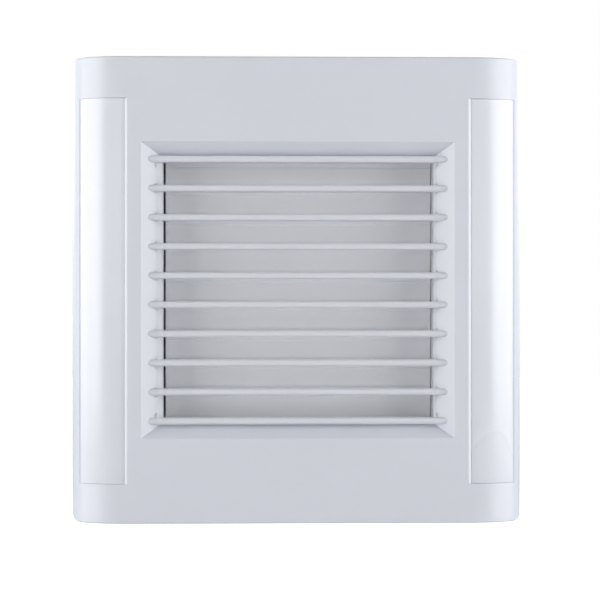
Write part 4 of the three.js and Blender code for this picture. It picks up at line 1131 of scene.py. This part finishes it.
def screw(at, seat, head, thick, shank, length, outward=-1):
    """A pan head with a cross recess, and a threaded shank. outward is the way the head faces."""
    under = seat + outward * GAP
    top = under + outward * thick
    profile = [
        (0, top), (head * 0.5, top), (head * 0.82, top - outward * thick * 0.16),
        (head, top - outward * thick * 0.5), (head, under), (shank, under),
    ]
    tip = under - outward * length
    pitch = 1.1
    count = int((length - 2) / pitch)
    for i in range(count):
        y = under - outward * (1.2 + pitch * i)
        profile += [(shank, y), (shank * 0.84, y - outward * pitch * 0.5)]
    profile += [(shank, tip + outward * 0.6), (shank * 0.6, tip), (0, tip)]
    made = turned(profile, 32, closed=False)
    half, wide = head * 0.5, head * 0.13
    deep = sorted((top + outward, top - outward * thick * 0.55))
    made = cut(made, block((-half, half), deep, (-wide, wide)), block((-wide, wide), deep, (-half, half)))
    return moved(made, (at[0], 0, at[1]))


# ---- What a user may change ----


class FanSizes(bpy.types.PropertyGroup):
    """Thicknesses, depths and edges of the fan's pieces."""

    bar_thickness: bpy.props.FloatProperty(
        name="Bar thickness", description="Thickness of the louvre bars",
        default=3.0 * MM, min=0, subtype="DISTANCE", unit="LENGTH",
    )
    trim_sink_inside: bpy.props.FloatProperty(
        name="Trim sink inside", description="How far a trim lies under the cover at its inner edge",
        default=0.85 * MM, min=0, subtype="DISTANCE", unit="LENGTH",
    )
    trim_sink_outside: bpy.props.FloatProperty(
        name="Trim sink outside", description="How far a trim lies under the cover at its outer edge",
        default=0.15 * MM, min=0, subtype="DISTANCE", unit="LENGTH",
    )
    cover_edge: bpy.props.FloatProperty(
        name="Cover edge", description="Radius round the cover's outline",
        default=0.8 * MM, min=0, subtype="DISTANCE", unit="LENGTH",
    )
    trim_edge: bpy.props.FloatProperty(
        name="Trim edge", description="Radius of the side trims' edges",
        default=0.1 * MM, min=0, subtype="DISTANCE", unit="LENGTH",
    )
    blade_edge: bpy.props.FloatProperty(
        name="Blade edge", description="Radius of a shutter blade's tip",
        default=0.35 * MM, min=0, subtype="DISTANCE", unit="LENGTH",
    )
    housing_edge: bpy.props.FloatProperty(
        name="Housing edge", description="Radius of the tray's and flange's rims",
        default=0.9 * MM, min=0, subtype="DISTANCE", unit="LENGTH",
    )
    hood_edge: bpy.props.FloatProperty(
        name="Hood edge", description="Radius of the outdoor hood's rim",
        default=0.7 * MM, min=0, subtype="DISTANCE", unit="LENGTH",
    )
    slat_edge: bpy.props.FloatProperty(
        name="Slat edge", description="Radius of an outdoor slat's edges",
        default=0.6 * MM, min=0, subtype="DISTANCE", unit="LENGTH",
    )
    seal_edge: bpy.props.FloatProperty(
        name="Seal edge", description="Radius of the ring seals' edges",
        default=0.5 * MM, min=0, subtype="DISTANCE", unit="LENGTH",
    )
    coil_edge: bpy.props.FloatProperty(
        name="Coil edge", description="Radius of the windings' corners",
        default=1.2 * MM, min=0, subtype="DISTANCE", unit="LENGTH",
    )


class FanColours(bpy.types.PropertyGroup):
    """Colours of the fan's plastics, metals and rubber."""

    cover: bpy.props.FloatVectorProperty(
        name="Cover", description="White plastic of the front cover",
        default=(0.675, 0.7, 0.76), min=0, max=1, subtype="COLOR",
    )
    trim: bpy.props.FloatVectorProperty(
        name="Trims", description="Glossy plastic of the side trims",
        default=(0.73, 0.747, 0.81), min=0, max=1, subtype="COLOR",
    )
    grille: bpy.props.FloatVectorProperty(
        name="Grille", description="Plastic of the louvre bars",
        default=(0.7, 0.718, 0.765), min=0, max=1, subtype="COLOR",
    )
    # Painted light: this white is set lighter than the cover's, so that the blades and the frame, which lie
    # in the shade behind the bars, render brighter than the light reaching them would make them.
    shutter: bpy.props.FloatVectorProperty(
        name="Shutter", description="Plastic of the shutter blades and their frame",
        default=(0.95, 0.955, 0.98), min=0, max=1, subtype="COLOR",
    )
    housing: bpy.props.FloatVectorProperty(
        name="Housing", description="Plastic of the tray, collar and outdoor side",
        default=(0.75, 0.77, 0.81), min=0, max=1, subtype="COLOR",
    )
    impeller: bpy.props.FloatVectorProperty(
        name="Impeller", description="Grey plastic of the impeller and its nut",
        default=(0.36, 0.38, 0.41), min=0, max=1, subtype="COLOR",
    )
    natural: bpy.props.FloatVectorProperty(
        name="Natural plastic", description="Uncoloured plastic of the tie rod, actuator and terminals",
        default=(0.68, 0.64, 0.52), min=0, max=1, subtype="COLOR",
    )
    zinc: bpy.props.FloatVectorProperty(
        name="Zinc", description="Zinc-plated steel of the screws, shaft and spring",
        default=(0.62, 0.63, 0.64), min=0, max=1, subtype="COLOR",
    )
    lamination: bpy.props.FloatVectorProperty(
        name="Laminations", description="Steel of the stator and rotor",
        default=(0.22, 0.22, 0.23), min=0, max=1, subtype="COLOR",
    )
    copper: bpy.props.FloatVectorProperty(
        name="Copper", description="Enamelled copper of the windings",
        default=(0.52, 0.2, 0.08), min=0, max=1, subtype="COLOR",
    )
    bronze: bpy.props.FloatVectorProperty(
        name="Bronze", description="Bronze of the bearings",
        default=(0.45, 0.28, 0.12), min=0, max=1, subtype="COLOR",
    )
    rubber: bpy.props.FloatVectorProperty(
        name="Rubber", description="Rubber of the seals and the grommet",
        default=(0.028, 0.028, 0.03), min=0, max=1, subtype="COLOR",
    )
    sheath: bpy.props.FloatVectorProperty(
        name="Sheath", description="Sheath of the leads",
        default=(0.035, 0.035, 0.038), min=0, max=1, subtype="COLOR",
    )


class FanStudio(bpy.types.PropertyGroup):
    """The studio that the fan is shown in."""

    floor_drop: bpy.props.FloatProperty(
        name="Floor drop", description="How far the floor lies under the fan",
        default=0.12, subtype="DISTANCE", unit="LENGTH",
    )
    soft_light: bpy.props.FloatProperty(
        name="Soft light", description="Strength of the light from all round",
        default=0.02,
    )
    front_light: bpy.props.FloatProperty(
        name="Front light", description="Power of the softbox in front, in watts",
        default=3.0,
    )
    left_light: bpy.props.FloatProperty(
        name="Left light", description="Power of the left softbox, in watts",
        default=3.9,
    )
    right_light: bpy.props.FloatProperty(
        name="Right light", description="Power of the right softbox, in watts",
        default=4.1,
    )
    side_light: bpy.props.FloatProperty(
        name="Side light", description="Power of each softbox at the sides, in watts",
        default=3.6,
    )
    back_light: bpy.props.FloatProperty(
        name="Back light", description="Power of each softbox on the outdoor side, in watts",
        default=5.0,
    )
    camera_turn: bpy.props.FloatProperty(
        name="Camera turn", description="How far the camera stands to the left",
        default=math.radians(2), subtype="ANGLE", unit="ROTATION",
    )


class FAN_OT_front_cover(bpy.types.Operator):
    """Makes the front cover: bands, flat face, trim recesses and funnel."""

    bl_idname = "fan.front_cover"
    bl_label = "Front cover"

    def execute(self, context):
        sizes = context.scene.fan_sizes
        piece("front_cover", front_cover(sizes), "cover")
        return {"FINISHED"}


class FAN_OT_side_trims(bpy.types.Operator):
    """Makes the two curved glossy trims."""

    bl_idname = "fan.side_trims"
    bl_label = "Side trims"

    def execute(self, context):
        sizes = context.scene.fan_sizes
        piece("left_trim", side_trim(-1, sizes), "trim")
        piece("right_trim", side_trim(1, sizes), "trim")
        return {"FINISHED"}


class FAN_OT_louvre_grille(bpy.types.Operator):
    """Makes the round-nosed louvre bars and their rails."""

    bl_idname = "fan.louvre_grille"
    bl_label = "Louvre grille"

    def execute(self, context):
        sizes = context.scene.fan_sizes
        piece("louvre_grille", louvre_grille(sizes), "grille")
        return {"FINISHED"}


class FAN_OT_shutter_blades(bpy.types.Operator):
    """Makes the nine shutter blades from one."""

    bl_idname = "fan.shutter_blades"
    bl_label = "Shutter blades"

    def execute(self, context):
        sizes = context.scene.fan_sizes
        blade = shutter_blade(sizes)
        for i, z in enumerate(BLADE_Z, 1):
            piece(f"shutter_blade_{i}", moved(blade.copy(), (0, 0, z)), "shutter", f"blade_{i}")
        blade.free()
        return {"FINISHED"}


class FAN_OT_shutter_works(bpy.types.Operator):
    """Makes the shutter's frame, tie rod, actuator and spring."""

    bl_idname = "fan.shutter_works"
    bl_label = "Shutter works"

    def execute(self, context):
        piece("shutter_frame", shutter_frame(), "shutter")
        piece("tie_rod", tie_rod(), "natural", "tie_rod")
        piece("actuator_body", actuator_body(), "natural")
        piece("actuator_plunger", actuator_plunger(), "zinc", "plunger")
        spring = piece("return_spring", return_spring(), "zinc")
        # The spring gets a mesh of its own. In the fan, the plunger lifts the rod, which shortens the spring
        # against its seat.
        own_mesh(spring)
        return {"FINISHED"}


class FAN_OT_housing(bpy.types.Operator):
    """Makes the tray behind the cover."""

    bl_idname = "fan.housing"
    bl_label = "Housing"

    def execute(self, context):
        sizes = context.scene.fan_sizes
        piece("housing", housing(sizes), "housing")
        return {"FINISHED"}


class FAN_OT_seals(bpy.types.Operator):
    """Makes the ring seals on both faces of the pane."""

    bl_idname = "fan.seals"
    bl_label = "Ring seals"

    def execute(self, context):
        sizes = context.scene.fan_sizes
        piece("inner_gasket", gasket(-3, sizes), "rubber")
        piece("outer_gasket", gasket(PANE, sizes), "rubber")
        return {"FINISHED"}


class FAN_OT_outdoor_side(bpy.types.Operator):
    """Makes the outdoor frame and its rain louvre."""

    bl_idname = "fan.outdoor_side"
    bl_label = "Outdoor side"

    def execute(self, context):
        sizes = context.scene.fan_sizes
        piece("outdoor_frame", outdoor_frame(sizes), "housing")
        piece("outdoor_louvre", outdoor_louvre(sizes), "housing")
        return {"FINISHED"}


class FAN_OT_duct_collar(bpy.types.Operator):
    """Makes the duct collar with its arms and motor cup."""

    bl_idname = "fan.duct_collar"
    bl_label = "Duct collar"

    def execute(self, context):
        piece("duct_collar", duct_collar(), "housing")
        return {"FINISHED"}


class FAN_OT_motor(bpy.types.Operator):
    """Makes the motor: core, coils, rotor, shaft, bearings and cap."""

    bl_idname = "fan.motor"
    bl_label = "Motor"

    def execute(self, context):
        sizes = context.scene.fan_sizes
        piece("motor_end_cap", motor_end_cap(), "housing")
        piece("stator_core", stator_core(), "lamination")
        for i in range(4):
            piece(f"coil_{i + 1}", coil(i, sizes), "copper")
        piece("rotor", rotor(), "lamination", "spindle")
        piece("shaft", shaft(), "zinc", "spindle")
        piece("front_bearing", bearing(FRONT_BEARING), "bronze")
        piece("rear_bearing", bearing(REAR_BEARING), "bronze")
        return {"FINISHED"}


class FAN_OT_impeller(bpy.types.Operator):
    """Makes the impeller and the nut that holds it."""

    bl_idname = "fan.impeller"
    bl_label = "Impeller"

    def execute(self, context):
        piece("impeller", impeller(), "impeller", "spindle")
        piece("impeller_nut", impeller_nut(), "impeller", "spindle")
        return {"FINISHED"}


class FAN_OT_wiring(bpy.types.Operator):
    """Makes the terminal block, its cover, the leads and the cable grommet."""

    bl_idname = "fan.wiring"
    bl_label = "Wiring"

    def execute(self, context):
        piece("terminal_block", terminal_block(), "natural")
        piece("terminal_cover", terminal_cover(), "housing")
        piece("cable_grommet", cable_grommet(), "rubber")
        piece("motor_lead", tube(motor_lead(), LEAD_RADIUS), "sheath")
        piece("actuator_lead", tube(actuator_lead(), LEAD_RADIUS), "sheath")
        return {"FINISHED"}


SCREWS = [
    ("clamp_screw", CLAMPS, TRAY_FLOOR, 3.8, 2.4, 2, 24, -1),
    ("cover_screw", COVER_SCREWS, -37, 3.4, 2, 1.6, 12, -1),
    ("collar_screw", COLLAR_SCREWS, TRAY_FLOOR - GAP - 2.3, 3.2, 2, 1.6, 10, -1),
    ("shutter_screw", SHUTTER_SCREWS, -18.8, 3, 2, 1.5, 10, -1),
    ("motor_screw", CAP_SCREWS, 48.5, 2.4, 1.6, 1.2, 6, 1),
]


class FAN_OT_screws(bpy.types.Operator):
    """Makes every screw, with a cross recess and a thread."""

    bl_idname = "fan.screws"
    bl_label = "Screws"

    def execute(self, context):
        for name, places, *rest in SCREWS:
            for i, at in enumerate(places, 1):
                piece(f"{name}_{i}", screw(at, *rest), "zinc")
        return {"FINISHED"}


# ---- Studio ----


def pale_world(strength):
    """White to the camera, to reflections and through clear things, and softer as a light."""
    world = bpy.data.worlds.new("studio")
    world.use_nodes = True
    tree = world.node_tree
    tree.nodes.clear()
    ray = tree.nodes.new("ShaderNodeLightPath")
    seen = ray.outputs["Is Camera Ray"]
    for name in ("Is Glossy Ray", "Is Transmission Ray"):
        either = node(tree, "ShaderNodeMath", {"operation": "MAXIMUM"})
        tree.links.new(seen, either.inputs[0])
        tree.links.new(ray.outputs[name], either.inputs[1])
        seen = either.outputs[0]
    soft = node(tree, "ShaderNodeBackground", Color=(0.97, 0.985, 1, 1), Strength=strength)
    white = node(tree, "ShaderNodeBackground", Color=(1, 1, 1, 1), Strength=1.0)
    mix = tree.nodes.new("ShaderNodeMixShader")
    out = tree.nodes.new("ShaderNodeOutputWorld")
    tree.links.new(seen, mix.inputs[0])
    tree.links.new(soft.outputs[0], mix.inputs[1])
    tree.links.new(white.outputs[0], mix.inputs[2])
    tree.links.new(mix.outputs[0], out.inputs[0])
    bpy.context.scene.world = world


def floor_material():
    """A floor that takes the shadow under the fan and fades to white round it."""
    made = bpy.data.materials.new("studio_floor")
    made.use_nodes = True
    tree = made.node_tree
    shader = tree.nodes["Principled BSDF"]
    shader.inputs["Roughness"].default_value = 0.9
    shader.inputs["Base Color"].default_value = (0.85, 0.85, 0.86, 1)
    glow = node(tree, "ShaderNodeEmission", Color=(1, 1, 1, 1))
    ray = tree.nodes.new("ShaderNodeLightPath")
    away = node(tree, "ShaderNodeVectorMath", {"operation": "LENGTH"})
    tree.links.new(tree.nodes.new("ShaderNodeTexCoord").outputs["Object"], away.inputs[0])
    reach = {"From_Min": 0.25, "From_Max": 0.65, "To_Min": 0.15, "To_Max": 1.0}
    fade = node(tree, "ShaderNodeMapRange", {"clamp": True}, **reach)
    tree.links.new(away.outputs["Value"], fade.inputs["Value"])
    strength = scaled(tree, ray.outputs["Is Camera Ray"], fade.outputs["Result"])
    tree.links.new(strength, glow.inputs["Strength"])
    both = tree.nodes.new("ShaderNodeAddShader")
    tree.links.new(shader.outputs[0], both.inputs[0])
    tree.links.new(glow.outputs[0], both.inputs[1])
    tree.links.new(both.outputs[0], tree.nodes["Material Output"].inputs["Surface"])
    return made


def lamp(name, azimuth, distance, width, height, power, aim, level=0.0):
    """An area light at an azimuth round the fan, facing it."""
    data = bpy.data.lights.new(name, "AREA")
    data.shape = "RECTANGLE"
    data.size, data.size_y = width, height
    data.energy = power
    made = bpy.data.objects.new(name, data)
    bpy.context.scene.collection.objects.link(made)
    turn = math.radians(azimuth)
    made.location = aim + Vector((math.sin(turn), -math.cos(turn), level)) * distance
    made.rotation_euler = (aim - made.location).to_track_quat("-Z", "Y").to_euler()


# Where the photograph was taken from: the front plane's size in it and the point it aims at.
VIEW_DISTANCE = 1.13
VIEW_WIDTH = 0.2717
SENSOR = 36.0
AIM = Vector((0.00079, COVER_FRONT * MM, -0.0045))


class FAN_OT_studio(bpy.types.Operator):
    """Makes the floor, the lights and the camera."""

    bl_idname = "fan.studio"
    bl_label = "Studio"

    def execute(self, context):
        scene = context.scene
        studio = scene.fan_studio
        low = CAD_BOX[0][2] - studio.floor_drop
        bm = bmesh.new()
        bmesh.ops.create_grid(bm, x_segments=1, y_segments=1, size=6)
        bmesh.ops.translate(bm, vec=(0, 0, low), verts=bm.verts)
        mesh = bpy.data.meshes.new("floor")
        bm.to_mesh(mesh)
        bm.free()
        floor = bpy.data.objects.new("floor", mesh)
        floor.data.materials.append(floor_material())
        scene.collection.objects.link(floor)
        pale_world(studio.soft_light)
        aim = Vector((0, COVER_FRONT * MM / 2, 0))
        lamp("front_softbox", 0, 1.5, 1.1, 1.1, studio.front_light, aim, 0.2)
        lamp("left_softbox", -58, 0.9, 0.38, 0.9, studio.left_light, aim, 0.18)
        lamp("right_softbox", 59, 0.9, 0.38, 0.9, studio.right_light, aim, 0.18)
        lamp("left_side_softbox", -84, 0.9, 0.45, 0.9, studio.side_light, aim, 0.18)
        lamp("right_side_softbox", 84, 0.9, 0.45, 0.9, studio.side_light, aim, 0.18)
        lamp("back_left_softbox", -150, 1.5, 1.1, 1.1, studio.back_light, aim, 0.4)
        lamp("back_right_softbox", 150, 1.5, 1.1, 1.1, studio.back_light, aim, 0.4)
        data = bpy.data.cameras.new("camera")
        data.sensor_width = SENSOR
        data.lens = SENSOR * VIEW_DISTANCE / VIEW_WIDTH
        camera = bpy.data.objects.new("camera", data)
        scene.collection.objects.link(camera)
        turn = studio.camera_turn
        camera.location = AIM + Vector((-math.sin(turn), -math.cos(turn), 0)) * VIEW_DISTANCE
        camera.rotation_euler = (math.pi / 2, 0, -turn)
        data.clip_start, data.clip_end = 0.05, 30
        scene.camera = camera
        scene.view_settings.view_transform = "Standard"
        return {"FINISHED"}


PIECE_MAKERS = [
    FAN_OT_front_cover,
    FAN_OT_side_trims,
    FAN_OT_louvre_grille,
    FAN_OT_shutter_blades,
    FAN_OT_shutter_works,
    FAN_OT_housing,
    FAN_OT_seals,
    FAN_OT_outdoor_side,
    FAN_OT_duct_collar,
    FAN_OT_motor,
    FAN_OT_impeller,
    FAN_OT_wiring,
    FAN_OT_screws,
]


class FAN_PT_sidebar(bpy.types.Panel):
    """Lists the fan's operators in the sidebar."""

    bl_label = "Window Exhaust Fan"
    bl_space_type = "VIEW_3D"
    bl_region_type = "UI"
    bl_category = "Fan"

    def draw(self, context):
        for maker in [*PIECE_MAKERS, FAN_OT_studio]:
            self.layout.operator(maker.bl_idname)
        for name in ("fan_sizes", "fan_colours", "fan_studio"):
            group_of = getattr(context.scene, name)
            for key in group_of.bl_rna.properties.keys():
                if key not in ("rna_type", "name"):
                    self.layout.prop(group_of, key)


CLASSES = [FanSizes, FanColours, FanStudio, *PIECE_MAKERS, FAN_OT_studio, FAN_PT_sidebar]


def register():
    """Adds the tool set to Blender."""
    for each in CLASSES:
        bpy.utils.register_class(each)
    bpy.types.Scene.fan_sizes = bpy.props.PointerProperty(type=FanSizes)
    bpy.types.Scene.fan_colours = bpy.props.PointerProperty(type=FanColours)
    bpy.types.Scene.fan_studio = bpy.props.PointerProperty(type=FanStudio)


def unregister():
    """Takes the tool set out again."""
    del bpy.types.Scene.fan_studio
    del bpy.types.Scene.fan_colours
    del bpy.types.Scene.fan_sizes
    for each in reversed(CLASSES):
        bpy.utils.unregister_class(each)


def main():
    """Makes every piece and the stage."""
    register()
    bpy.ops.fan.front_cover()
    bpy.ops.fan.side_trims()
    bpy.ops.fan.louvre_grille()
    bpy.ops.fan.shutter_blades()
    bpy.ops.fan.shutter_works()
    bpy.ops.fan.housing()
    bpy.ops.fan.seals()
    bpy.ops.fan.outdoor_side()
    bpy.ops.fan.duct_collar()
    bpy.ops.fan.motor()
    bpy.ops.fan.impeller()
    bpy.ops.fan.wiring()
    bpy.ops.fan.screws()
    bpy.ops.fan.studio()


if __name__ == "__main__":
    main()
